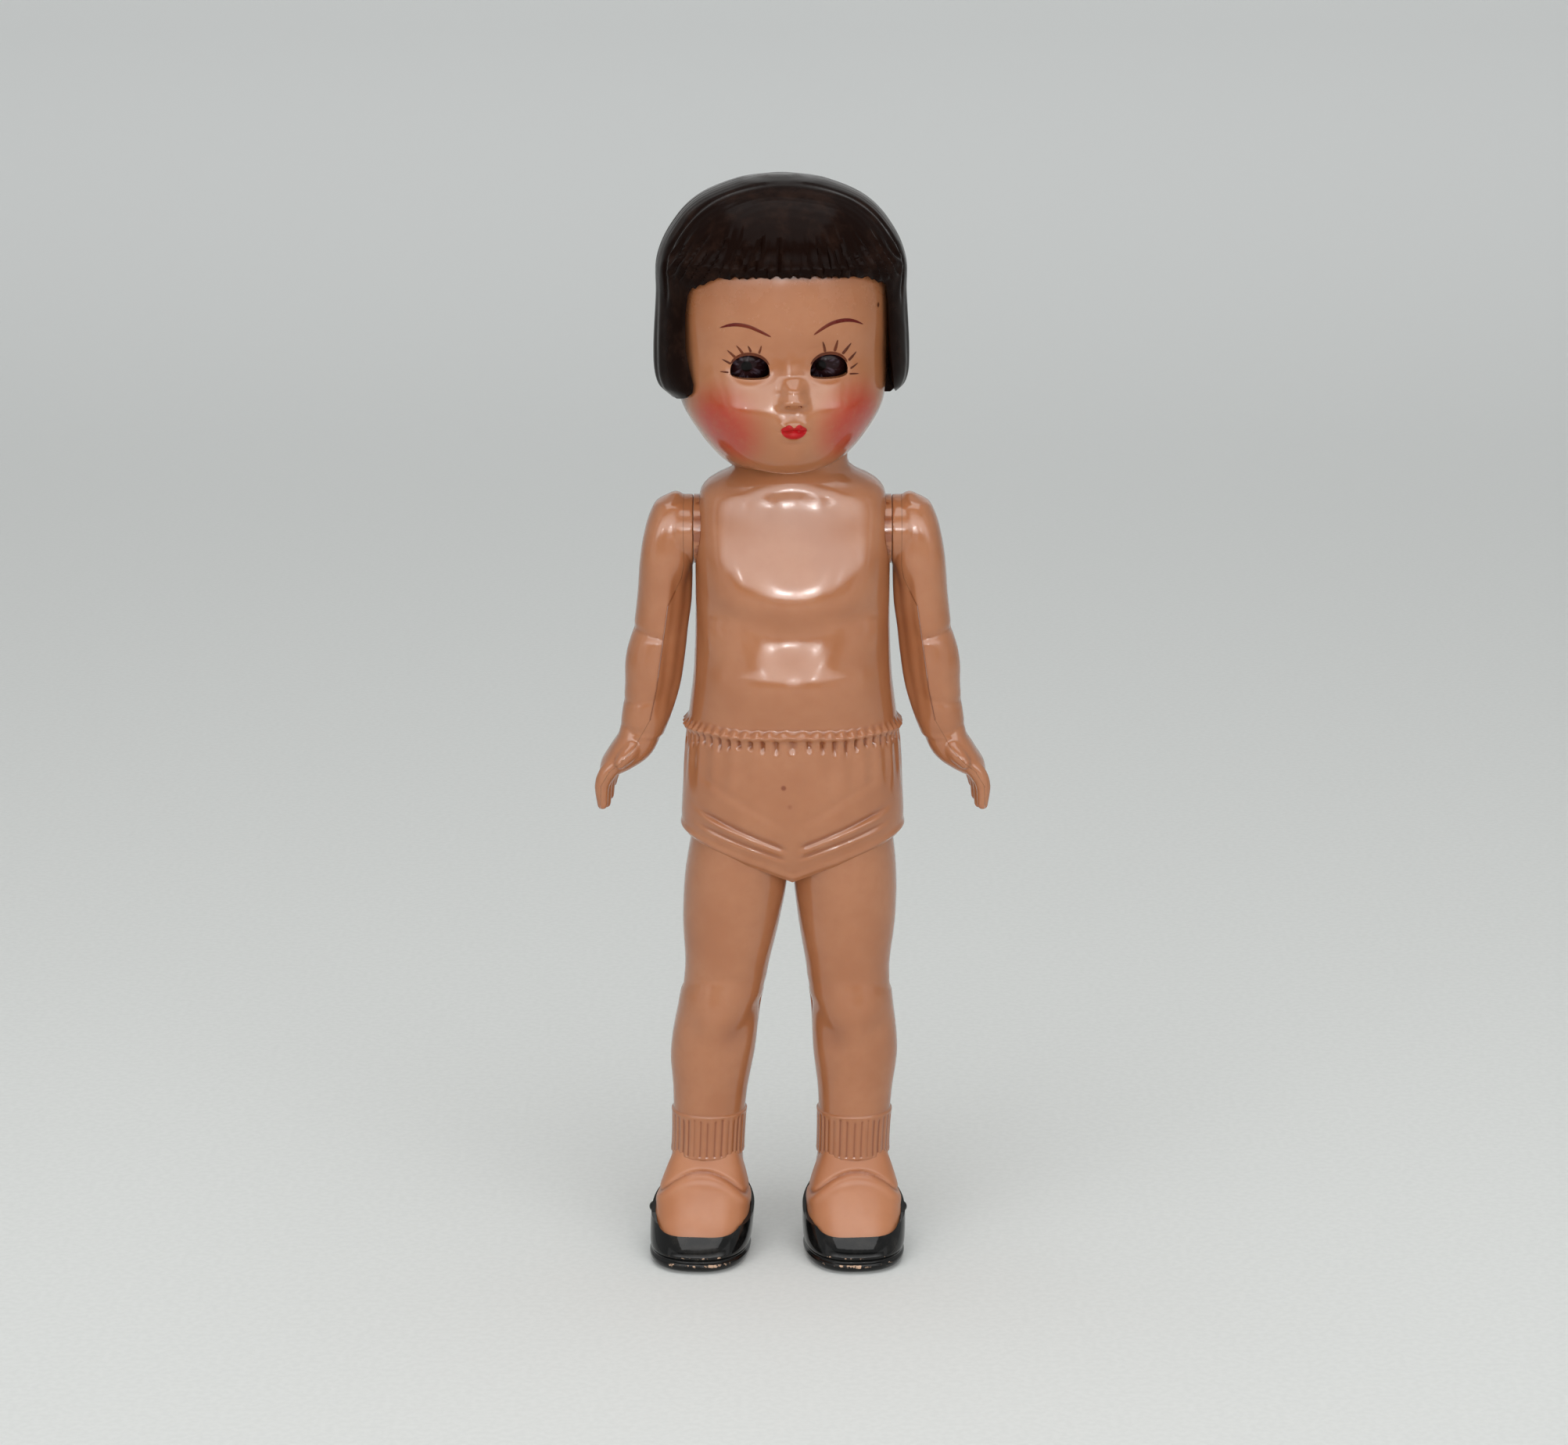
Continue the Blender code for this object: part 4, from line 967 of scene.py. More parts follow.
def line_groove(x, z, start, stop, width):
    """One on a straight crease between two points across and up, falling off beside it."""
    start, stop = np.array(start), np.array(stop)
    run = stop - start
    share = np.clip(((x - start[0]) * run[0] + (z - start[1]) * run[1]) / (run @ run), 0.0, 1.0)
    away = np.hypot(x - start[0] - share * run[0], z - start[1] - share * run[1])
    return np.exp(-((away / width) ** 2))


# Folds of the brief: height, rise to the sides, depth, width. Collarbone creases: start, stop, depth.
BRIEF_FOLDS = ((70.2, 0.4, 0.38, 0.55), (68.4, 0.36, 0.26, 0.45), (74.0, 0.55, 0.1, 0.9))
COLLAR_CREASES = (((-8.0, 130.4), (-3.4, 126.6), 0.11), ((7.8, 129.6), (6.4, 126.9), 0.09))


def chest_relief(x, z):
    """Collarbones, chest and belly of the trunk's front."""
    beside = np.abs(x)
    reach = 0.2 * bell(z, 128.0, 2.0) * bell(beside, 6.5, 4.0) - 0.05 * bell(x, 0.0, 1.6) * bell(z, 121.0, 6.0)
    for start, stop, depth in COLLAR_CREASES:
        reach -= depth * line_groove(x, z, start, stop, 1.2)
    reach += 0.2 * bell(beside, 9.0, 5.0) * between(z, 107.0, 113.0, 120.0, 127.0)
    plain = through(TRUNK, z)[..., 2]
    ends = through(TRUNK, np.array(HOLLOW))[..., 2]
    hollow = np.clip(np.interp(z, HOLLOW, ends) - plain, 0.0, None)
    hollow = np.where((z > HOLLOW[0]) & (z < HOLLOW[1]), hollow * hollow / (hollow + 0.15), 0.0)
    reach += hollow * between(beside, 0.5, 7.5, 12.5, 15.5)
    lifted = through(TRUNK, z - 0.012 * x * x)[..., 2] - plain
    reach += lifted * between(z, 106.0, 110.0, 118.0, 126.0) * (1.0 - ease(beside, 10.0, 15.0))
    upper = ease(z, 99.0, 108.0)
    middle = upper * (1.0 - ease(beside, 7.0, 14.5)) + (1.0 - upper) * bell(x, 0.0, 6.0)
    return reach + middle * through(CHEST, z)[..., 1]


def trunk_relief(x, y, z, angle):
    """Waistband, gathers, folds and leg edges of the brief, the front's forms and the back's furrow."""
    gathers = bpy.context.scene.doll_sizes.gathers
    front = y < 0
    band = BAND_HEIGHT + 0.1 * np.sin(7 * angle) + 0.08 * np.sin(gathers * angle)
    reach = seam_groove(y) + (0.58 + 0.16 * np.cos(gathers * angle)) * bell(z, band, 0.72)
    reach += 0.22 * between(z, 66.0, 68.0, band - 0.2, band + 0.3)
    pleat = np.maximum(0.0, -np.cos(gathers * angle))
    long = 1.2 + 0.5 * np.sin(11.3 * angle) + 0.4 * np.sin(4.1 * angle)
    reach -= 0.55 * pleat * between(z, band - 2.0 - long, band - 1.5, band - 1.0, band - 0.4)
    reach += 0.1 * np.cos(0.5 * gathers * angle) * between(z, 78.0, 84.0, 86.0, 88.5)
    strength = between(np.abs(x), 0.4, 2.5, 12.5, 16.5)
    for height, rise, depth, width in BRIEF_FOLDS:
        fold = height + rise * np.abs(x + 0.4) ** 1.02
        reach -= depth * bell(z, fold, width) * np.where(front, strength, 0.35 * strength)
        reach += 0.5 * depth * bell(z, fold - 1.7 * width, width) * strength
    edge = FORK_HEIGHT + LEG_EDGE_RISE * np.abs(x)
    reach += 0.22 * bell(z, edge + 0.9, 0.6) - 0.45 * (1.0 - ease(z, edge - 0.2, edge + 0.9))
    furrow = 0.45 * bell(x, 0.0, 1.8) * between(z, 92.0, 100.0, 118.0, 127.0)
    furrow += 0.9 * bell(x, 0.0, 1.3) * (1.0 - ease(z, 76.0, 86.0))
    return reach + np.where(front, chest_relief(x, z), -furrow)


def build_trunk():
    heights = runs((60.5, 85.0, 104), (85.2, 91.4, 44), (91.9, 134.5, 52))
    piece = loft("trunk", ring_points(TRUNK, heights, with_seams(turns(400)), trunk_relief))
    join(piece, shoulder_rod("shoulder_seats", -15.9, 15.9, BOSS_RADIUS, 64))
    for side in (-1, 1):
        far = side * 36.0
        outline = [(0.0, 58.0), (far, 58.0), (far, FORK_HEIGHT + LEG_EDGE_RISE * 36.0), (0.0, FORK_HEIGHT)]
        cut(piece, prism("leg_edge", outline, -40.0, 40.0))
    room = room_points(TRUNK, 72.5, 134.5, BODY_WALL, columns=48)
    room[-1, :, 2] = 136.0
    cut(piece, loft("room", room))
    cut(piece, shoulder_rod("string_holes", -30.0, 30.0, STRING_HOLE, 32))
    return piece


# Dimples beside the kneecap, the kneecap, and the swell on the knee's inner side.
KNEE_BUMPS = ((-0.45, -3.6, 1.9, 36.6, 2.0), (-0.3, 3.8, 1.5, 38.4, 1.7), (0.45, 0.3, 3.0, 40.2, 3.2))
INNER_KNEE_BUMP = ((0.2, -6.4, 2.2, 44.6, 2.4),)


def leg_relief(x, y, z, angle):
    """Seam, knee dimples and plump folds of a left leg."""
    reach = seam_groove(y)
    front = np.where(y < 0, 1.0, 0.0)
    reach -= 0.28 * front * line_groove(x, z, (-6.4, 41.6), (-4.8, 38.6), 1.4)
    reach += front * bumps(x, z, KNEE_BUMPS) + bumps(x, z, INNER_KNEE_BUMP)
    reach -= 0.25 * (1.0 - front) * bell(z, 43.5 + 0.03 * x * x, 0.8)
    return reach - 0.15 * front * bell(z, 47.0 - 0.05 * x * x, 1.1)


def build_leg(side):
    points = ring_points(LEG, np.linspace(11.5, 74.0, 110), with_seams(turns(112)), leg_relief)
    return loft(sided_name(side, "leg"), aslant(sided(points, side)))


def cuff_relief(x, y, z, angle):
    """Round-topped cuff with upright ribs of uneven depth."""
    ribs = bpy.context.scene.doll_sizes.sock_ribs
    body = between(z, 15.3, 15.9, 22.9, 23.55)
    rib = 0.5 - 0.5 * np.cos(ribs * angle + 0.5 * np.sin(5 * angle))
    rib = rib * (0.76 + 0.14 * np.sin(7 * angle + 1.0) + 0.1 * np.sin(12 * angle))
    length = between(z, 15.5, 16.4, 22.0 + 0.4 * np.sin(9 * angle), 22.9)
    return -0.5 + 0.84 * body - 0.2 * length * rib**1.4 + seam_groove(y, 0.1)


def build_cuff(side):
    heights = runs((15.3, 17.0, 14), (17.4, 21.6, 10), (21.9, 23.6, 16))
    points = ring_points(LEG, heights, with_seams(turns(288)), cuff_relief)
    return loft(sided_name(side, "sock_cuff"), aslant(sided(points, side)))


def foot_relief(x, y, z):
    """The sock's crease over the instep."""
    front = np.where(y < -1.0, 1.0, 0.0)
    crease = 13.9 - 2.6 * (x / 6.0) ** 2
    return -0.42 * front * bell(z, crease, 0.32) + 0.22 * front * bell(z, crease - 0.9, 0.7)


def on_foot(points, side):
    return aslant(sided(turned(points, TOE_OUT, ANKLE_ACROSS), side))


def build_foot(side):
    points = foot_points(FOOT, np.linspace(1.5, 17.0, 72), turns(104), 0.7, foot_relief)
    return loft(sided_name(side, "sock_foot"), on_foot(points, side))


def build_shoe(side):
    """A low shoe with a deep mouth, a welt and a strap button on its outer side."""
    heights = runs((0.0, 3.0, 26), (3.2, 12.4, 40))
    angles = turns(128)
    piece = loft(sided_name(side, "shoe"), on_foot(foot_points(SHOE, heights, angles), side))
    mouth = []
    base = foot_points(SHOE, np.array([7.2]), angles, SHOE_WALL, square=0.68)[0]
    scale = np.where(base[:, 1] < 0, 15.5 / (13.4 - SHOE_WALL), 1.0)
    for height, grow in ((3.4, 0.96), (5.4, 0.985), (7.2, 1.0), (10.0, 1.01), (14.2, 1.03)):
        ring = base.copy()
        ring[:, 1] = np.minimum(ring[:, 1] * scale, 4.0)
        ring[:, :2] *= grow
        ring[:, 2] = height
        mouth.append(ring)
    cut(piece, loft("mouth", on_foot(np.array(mouth), side)))
    top_line = [(14.0, 11.6), (7.0, 10.6), (1.0, 9.0), (-3.0, 8.0), (-7.0, 6.9), (-11.0, 6.4)]
    top_line += [(-24.0, 6.4), (-24.0, 20.0), (14.0, 20.0)]
    cut(piece, prism("over_top_line", top_line, -60.0, 60.0, math.pi / 2))
    side_x = float(through(SHOE, np.array([BUTTON_HEIGHT]))[0, 3])
    centre = on_foot(np.array([[side_x - 0.25, -3.0, BUTTON_HEIGHT]]), side)[0]
    join(piece, ball("button", tuple(centre), BUTTON_RADIUS, 24, 16))
    return piece


# Bumps about the face's middle: nose tip, bridge, lip groove, mouth, lower lip, fold under it, chin.
FACE_BUMPS = (
    (0.12, 0.0, 1.2, 24.0, 1.1),
    (0.35, 0.0, 2.3, 28.2, 3.2),
    (-0.18, 0.0, 0.5, 21.4, 0.9),
    (0.75, 0.0, 2.1, 19.2, 1.6),
    (0.4, 0.0, 1.2, 18.2, 0.5),
    (-0.2, 0.0, 1.5, 17.1, 0.5),
    (0.8, 0.0, 2.8, 15.2, 2.2),
)
# On both sides of the face's middle: nose wing, nostril, the wing's crease, mouth corner.
PAIRED_FACE_BUMPS = (
    (0.6, 1.6, 0.7, 23.4, 0.8),
    (-0.3, 0.95, 0.42, 22.75, 0.35),
    (-0.04, 2.75, 0.6, 23.3, 1.1),
    (-0.12, 2.5, 0.6, 19.1, 0.6),
)
# On both sides of the head's middle: cheek, eye hollow.
PAIRED_HEAD_BUMPS = ((0.9, 9.0, 4.2, 21.8, 4.2), (-0.6, EYE_ACROSS, 3.4, EYE_HEIGHT, 3.4))
# The muzzle, about the head's middle.
MUZZLE_BUMP = ((0.6, 0.0, 7.0, 19.0, 4.6),)


def face_relief(x, z):
    """How far the face stands forward of the plain head."""
    m = x - FACE_MIDDLE
    relief = 1.35 * np.exp(-np.abs(m / 1.65) ** 3) * between(z, 22.1, 23.7, 25.3, 27.7)
    relief += bumps(m, z, FACE_BUMPS) + bumps(x, z, MUZZLE_BUMP)
    for side in (-1, 1):
        relief += bumps(side * m, z, PAIRED_FACE_BUMPS) + bumps(side * x, z, PAIRED_HEAD_BUMPS)
        away = np.hypot((x - side * EYE_ACROSS) / 3.5, (z - 28.7) / 2.55)
        relief += 0.07 * bell(away, 1.05, 0.16)
        relief -= 0.04 * bell(away, 1.45, 0.14) * ease(z, 29.0, 30.5)
    relief += 0.35 * bell(np.abs(m), 0.8, 0.7) * bell(z, 19.85, 0.42)
    seam = 19.05 + 0.12 * np.cos(m * 2.2)
    relief -= 0.3 * bell(z, seam, 0.2) * (1.0 - ease(np.abs(m), 1.6, 2.3))
    return relief + 0.65 * ease(z, 40.0, 46.0)


def face_surface(x, z):
    """Depth of the face's skin, at a place across and a height in the head's own frame."""
    table = through(HEAD, np.asarray(z, float))
    half, front, square = table[..., 1], table[..., 2], table[..., 4]
    share = np.clip(np.abs(x) / half, 0.0, 0.999)
    return -(front * (1.0 - share**square) ** (1.0 / square) + face_relief(np.asarray(x, float), np.asarray(z, float)))


def eye_outline(side, grow=0.0):
    """The eye opening: domed above, nearly flat below."""
    middle = -6.1 if side < 0 else 6.3
    turn = turns(48)
    rise = np.where(np.sin(turn) > 0, 2.75, 1.15) + grow
    x = middle + (3.05 + grow) * power_of(np.cos(turn), 0.95)
    z = 28.1 + rise * power_of(np.sin(turn), np.where(np.sin(turn) > 0, 0.95, 0.6))
    return [(float(a), float(b)) for a, b in zip(x, z)]


def build_head():
    heights = runs((10.8, 14.0, 14), (14.16, 36.0, 138), (36.5, 54.7, 34))
    front = np.linspace(math.pi, 2 * math.pi, 152, endpoint=False)
    front = front - 0.15 * np.sin(2 * front)
    back = np.linspace(0.0, math.pi, 56, endpoint=False)
    angles = with_seams(np.concatenate([front, back]))
    points = ring_points(HEAD, heights, angles, lambda x, y, z, a: seam_groove(y))
    ahead = points[..., 1] < 0
    points[..., 1] -= np.where(ahead, face_relief(points[..., 0], points[..., 2]), 0.0)
    jaw = bell(points[..., 0], FACE_MIDDLE, 6.8) * ease(-points[..., 1], 5.0, 12.0)
    points[..., 2] -= 0.8 * jaw * (1.0 - ease(points[..., 2], 13.6, 18.0))
    piece = loft("head", on_head(points))
    room = room_points(HEAD, 10.8, 52.7, HEAD_WALL)
    room[0, :, 2] = 9.5
    cut(piece, loft("room", on_head(room)))
    for side in (-1, 1):
        centre = head_point(side * EYE_ACROSS, EYE_DEPTH, EYE_HEIGHT)
        cut(piece, ball("seat", tuple(centre), EYE_SEAT, 64, 48))
        cut(piece, head_prism("opening", eye_outline(side), -30.0, EYE_DEPTH))
    return piece


def hair_relief(x, y, z, angle):
    """Strands of the fringe and locks, the line over the crown, and the seam."""
    front = ease(-np.sin(angle), 0.15, 0.55)
    wave = 30 * angle + 0.9 * np.sin(3 * angle + 1.0) + 0.10 * (z - 43.0)
    fan = x * 26.0 / (69.0 - z) + 0.25 * np.sin(0.8 * x + 0.5)
    lines = 0.65 * np.cos(2 * math.pi * fan / 1.55) + 0.35 * np.cos(2 * math.pi * fan / 0.83 + 1.0)
    strand = np.where(y < 0, front * lines + (1.0 - front) * np.cos(wave), np.cos(wave))
    length = 46.2 + 1.6 * np.sin(1.9 * fan) + 1.0 * np.sin(5.3 * fan)
    fringe = front * between(z, 41.0, 43.0, length, length + 3.2)
    locks = (1.0 - front) * (1.0 - ease(z, 30.0, 46.0))
    back = ease(np.sin(angle), 0.1, 0.6) * (1.0 - ease(z, 40.0, 53.0))
    reach = strand * (0.34 * fringe + 0.1 * locks + 0.12 * back)
    reach += 0.3 * front * bell(z, 44.4, 0.9) * np.where(y < 0, 1.0, 0.0)
    beyond = np.maximum(z - fringe_line(x), np.abs(x) - 15.6)
    short = 1.0 - np.clip(beyond / 1.3, 0.0, 1.0)
    reach -= np.where(y < -2.0, 0.6 * (1.0 - np.sqrt(1.0 - 0.98 * short**2)), 0.0)
    reach -= 0.32 * bell(y, -6.5, 0.45) * ease(z, 36.0, 42.0)
    reach += 0.15 * bell(y, -7.6, 0.7) * ease(z, 36.0, 42.0)
    arcs = np.cos(2 * math.pi * (y + 0.25 * np.sin(0.5 * x)) / 1.3) * ease(z, 44.0, 50.0)
    reach += 0.02 * arcs * (1.0 - front * (1.0 - ease(z, 47.5, 50.0)))
    return reach + seam_groove(y, 0.16)


def fringe_line(x):
    """Lower edge of the fringe, with its strand tips."""
    base = 43.2 - 0.004 * x * x - 1.6 * ease(-x, 11.0, 15.2) - 0.9 * ease(x, 12.0, 15.4)
    tips = np.abs(np.sin(math.pi * (0.62 * x + 0.25 * np.sin(0.9 * x))))
    return base - 0.25 + 0.5 * tips * (0.7 + 0.3 * np.sin(2.1 * x))


def build_hair():
    heights = runs((22.1, 25.0, 16), (25.3, 41.0, 40), (41.2, 53.0, 60), (53.2, 57.2, 22))
    points = ring_points(HAIR, heights, with_seams(turns(288)), hair_relief)
    piece = loft("hair", on_head(points))
    cut(piece, loft("room", on_head(room_points(HEAD, 20.0, 52.0, HAIR_WALL))))
    right = [(19.0, 18.0), (19.0, 22.0), (17.9, 22.9), (17.3, 24.2), (17.0, 26.5), (16.6, 30.0)]
    right += [(16.3, 34.0), (16.1, 38.0), (15.7, 40.8)]
    left = [(-15.5, 39.5), (-15.9, 36.5), (-15.9, 31.0), (-15.3, 27.8), (-14.7, 25.4)]
    left += [(-14.8, 24.0), (-15.6, 22.9), (-17.5, 22.0), (-17.5, 18.0)]
    fringe = [(float(x), float(fringe_line(x))) for x in np.linspace(14.9, -14.9, 150)]
    cut(piece, head_prism("face_window", right + fringe + left, -40.0, 0.0))
    return piece


def flat_grid(name, columns, rows, size):
    """A flat grid to shape, and where its points are."""
    deselect()
    bpy.ops.mesh.primitive_grid_add(x_subdivisions=columns, y_subdivisions=rows, size=size)
    piece = bpy.context.object
    piece.name = name
    return piece, positions(piece.data)


def laid_on_face(piece, x, y, z):
    """A grid moved to its places on the face, facing out, and made a paint's thickness."""
    placed = on_head(np.stack([x, y, z], axis=-1))
    place_points(piece, placed * MM)
    edit_all(piece, bpy.ops.mesh.remove_doubles, threshold=MERGE_DISTANCE * MM)
    outward(piece)
    if piece.data.polygons[len(piece.data.polygons) // 2].normal.y > 0:
        edit_all(piece, bpy.ops.mesh.flip_normals)
    modify(piece, "SOLIDIFY", thickness=PAINT_DEPTH * MM, offset=-1.0, use_even_offset=False)
    return piece


def paint_strip(name, line, widths, thickness=0.07):
    """A brushed stroke on the face along a line of points across and up, closed and a hair thick."""
    line = np.array(line, float)
    piece, spots = flat_grid(name, 36, 6, 1.0)
    along, aside = spots[:, 0] + 0.5, 2.0 * spots[:, 1]
    steps = steps_along(line)
    steps = steps / steps[-1]
    table = np.column_stack([steps, line, widths])
    there = through(table, along)
    ahead, behind = through(table, np.minimum(along + 0.01, 1.0)), through(table, np.maximum(along - 0.01, 0.0))
    run = unit_rows(ahead[:, 1:3] - behind[:, 1:3])
    half = 0.5 * there[:, 3] * np.sqrt(np.clip(1.0 - (2.0 * along - 1.0) ** 10, 0.0, 1.0))
    x = there[:, 1] - run[:, 1] * aside * half
    z = there[:, 2] + run[:, 0] * aside * half
    y = face_surface(x, z) - thickness * (1.0 - aside**4 * 0.6)
    return laid_on_face(piece, x, y, z)


# Each brow's line, across and up, and its widths.
BROWS = {
    "left": (
        ((3.75, 34.05), (5.2, 35.05), (6.7, 35.8), (8.7, 36.12), (10.3, 35.85), (11.9, 35.1)),
        (0.304, 0.496, 0.592, 0.608, 0.448, 0.176),
    ),
    "right": (
        ((-2.9, 33.85), (-4.6, 34.7), (-6.3, 35.4), (-8.05, 35.65), (-9.4, 35.45), (-10.8, 34.95)),
        (0.304, 0.48, 0.576, 0.592, 0.448, 0.176),
    ),
}
# Each lash: root, a place on its way out, and brush width.
LASHES = {
    "left": (
        ((5.65, 31.2), (5.36, 32.4), 0.3),
        ((7.16, 31.2), (7.5, 32.5), 0.34),
        ((8.43, 30.7), (9.43, 31.85), 0.34),
        ((9.45, 29.6), (10.36, 30.48), 0.3),
        ((9.75, 28.3), (10.63, 28.8), 0.22),
        ((9.6, 27.5), (10.7, 27.4), 0.2),
    ),
    "right": (
        ((-4.75, 31.1), (-4.5, 32.0), 0.24),
        ((-5.98, 31.3), (-6.3, 32.0), 0.26),
        ((-7.18, 31.0), (-7.9, 31.9), 0.28),
        ((-8.3, 30.3), (-9.21, 31.1), 0.28),
        ((-9.0, 29.3), (-9.95, 29.75), 0.24),
        ((-9.4, 28.0), (-10.3, 28.0), 0.2),
    ),
}


def lip_patch(name):
    """Painted lips: a bowed upper lip and a fuller short lower one."""
    piece, spots = flat_grid(name, 44, 24, 2.0)
    u, v = spots[:, 0], spots[:, 1]
    m = LIP_HALF_WIDTH * u
    round_off = np.sqrt(np.clip(1.0 - np.abs(u) ** 2.6, 0.0, 1.0))
    top = (0.78 + 0.34 * np.exp(-(((np.abs(m) - 0.85) / 0.6) ** 2)) - 0.22 * np.exp(-((m / 0.4) ** 2))) * round_off
    low = 1.3 * np.clip(1.0 - np.abs(u) ** 2.6, 0.0, 1.0) ** 0.65
    z = MOUTH_HEIGHT + np.where(v > 0, v * top, v * low) + 0.1 * np.abs(u) ** 3
    x = FACE_MIDDLE + m
    edge = np.maximum(np.abs(u), np.abs(v))
    y = face_surface(x, z) - 0.07 * (1.0 - 0.6 * edge**6)
    return laid_on_face(piece, x, y, z)


def build_eye(side):
    """An eye cup, open behind, bored for the axle."""
    name = sided_name(side, "eye_cup")
    turn = turns(64)[None, :]
    lift = np.linspace(-math.pi / 2 + 0.01, math.pi / 2 - 0.01, 49)[:, None]
    ring = np.cos(lift) * np.ones_like(turn)
    unit = np.stack([ring * np.cos(turn), np.sin(lift) * np.ones_like(turn), -ring * np.sin(turn)], axis=-1)
    own = np.array([side * EYE_ACROSS, EYE_DEPTH, EYE_HEIGHT])
    piece = loft(name, on_head(own + EYE_RADIUS * unit))
    cut(piece, loft("inside", on_head(own + (EYE_RADIUS - EYE_WALL) * unit[::3, ::2])))
    x, y, z = own
    outline = [(x - 9.0, z - 9.0), (x + 9.0, z - 9.0), (x + 9.0, z + 9.0), (x - 9.0, z + 9.0)]
    cut(piece, head_prism("open_back", outline, y + 1.4, y + 9.0))
    cut(piece, loft("bore", on_head(rod_points(x - 9.0, x + 9.0, y, z, AXLE_BORE, 32))))
    return piece


def finger(name, path, radii):
    """A round finger through points, its end closed to a dome."""
    path = np.array(path, float)
    steps = steps_along(path)
    there = through(np.column_stack([steps, path, radii]), np.linspace(0.0, steps[-1], 26))
    run = unit_rows(np.gradient(there[:, 1:4], axis=0))
    up = unit_rows(np.cross(run, np.array([0.0, 1.0, 0.0])))
    side = np.cross(up, run)
    turn = turns(28)
    rings = there[:, None, 1:4] + there[:, None, 4:5] * (
        np.cos(turn)[None, :, None] * side[:, None, :] + np.sin(turn)[None, :, None] * up[:, None, :]
    )
    tip, radius, head = there[-1, 1:4], there[-1, 4], run[-1]
    dome = []
    for lift in np.linspace(0.25, 1.45, 7):
        dome.append(tip + head * radius * math.sin(lift) + (rings[-1] - tip) * math.cos(lift))
    return loft(name, np.concatenate([rings, np.array(dome)]))


def palm():
    table = np.array(HAND)
    steps = steps_along(table[:, :2])
    there = through(np.column_stack([steps, table]), np.linspace(0.0, steps[-1], 22))
    run = unit_rows(np.gradient(there[:, 1:3], axis=0))
    turn = turns(48)
    broad = there[:, 3:4] * power_of(np.cos(turn), 0.8)[None, :]
    thick = there[:, 4:5] * power_of(np.sin(turn), 0.8)[None, :]
    x = there[:, 1:2] - run[:, 1:2] * thick
    z = there[:, 2:3] + run[:, 0:1] * thick
    return loft("palm", np.stack([x, broad, z], axis=-1))


def arm_relief(x, y, z, angle):
    """Folds at the elbow and wrist, and the soft swell between them."""
    front = np.where(y < 0, 1.0, 0.55) * ease(x, -2.8, -0.8)
    reach = -0.26 * front * bell(z, 88.1 + 0.12 * x, 0.6)
    reach -= 0.32 * front * bell(z, 104.2 + 0.2 * x, 0.65)
    reach -= 0.22 * front * bell(z, 93.6 - 0.15 * x, 0.7)
    recess = ease(-0.4 - x, 0.0, 2.0) * ease(np.abs(y), 0.5, 2.5)
    reach -= 0.9 * recess * between(z, 88.0, 95.0, 112.0, 117.0)
    return reach + 0.2 * bell(z, 98.8, 2.6) * front


def build_arm():
    """The whole left arm with its boss and hand, made one skin before it is parted."""
    points = ring_points(ARM, np.linspace(87.2, 127.3, 90), turns(64), arm_relief)
    piece = loft("arm", points)
    join(piece, palm())
    for n, tip in enumerate(FINGER_TIPS):
        depth = (n - 1.5) * FINGER_PITCH
        fold = FINGER_FOLD * n
        out = 31.0 - fold
        path = ((27.7, depth, 83.7), (29.8 - 0.4 * fold, depth, 81.8), (out, depth, 79.4), (out, depth, tip + 1.0))
        join(piece, finger("finger", path, (1.35, 1.45, 1.25, 0.9)))
    path = ((25.2, -2.3, 86.6), (26.2, -3.4, 85.2), (27.4, -4.25, 84.0), (28.0, -4.55, 83.3))
    join(piece, finger("thumb", path, (1.35, 1.4, 1.25, 0.95)))
    join(piece, shoulder_rod("boss", 15.97, 18.57, BOSS_RADIUS, 72))
    modify(piece, "REMESH", mode="VOXEL", voxel_size=ARM_VOXEL * MM, adaptivity=0.0)
    modify(piece, "SMOOTH", factor=0.5, iterations=4)
    cut(piece, loft("room", room_points(ARM, 93.0, 125.0, ARM_WALL, 22, 32)))
    cut(piece, shoulder_rod("string_hole", 15.0, 20.2, STRING_HOLE, 32))
    return piece


def part_arm(piece):
    """Outer and inner halves along the parting line, a hair apart."""
    inner = copy_of(piece, "left_arm_inner_skin")
    piece.name = "left_arm_outer_skin"
    for half, shift, beyond in ((piece, PARTING_GAP, 5.0), (inner, -PARTING_GAP, 60.0)):
        line = [(x + shift, z) for x, z in PARTING]
        cut(half, prism("other_side", [(beyond, line[0][1]), *line, (beyond, line[-1][1])], -20.0, 20.0))
    return piece, inner


# The stage.


def seen_rays(tree):
    """One where the camera, a gloss or a clear piece looks, and nought for lighting."""
    path = add(tree, "ShaderNodeLightPath").outputs
    seen = maths(tree, "MAXIMUM", path["Is Camera Ray"], path["Is Glossy Ray"])
    return maths(tree, "MAXIMUM", seen, path["Is Transmission Ray"])


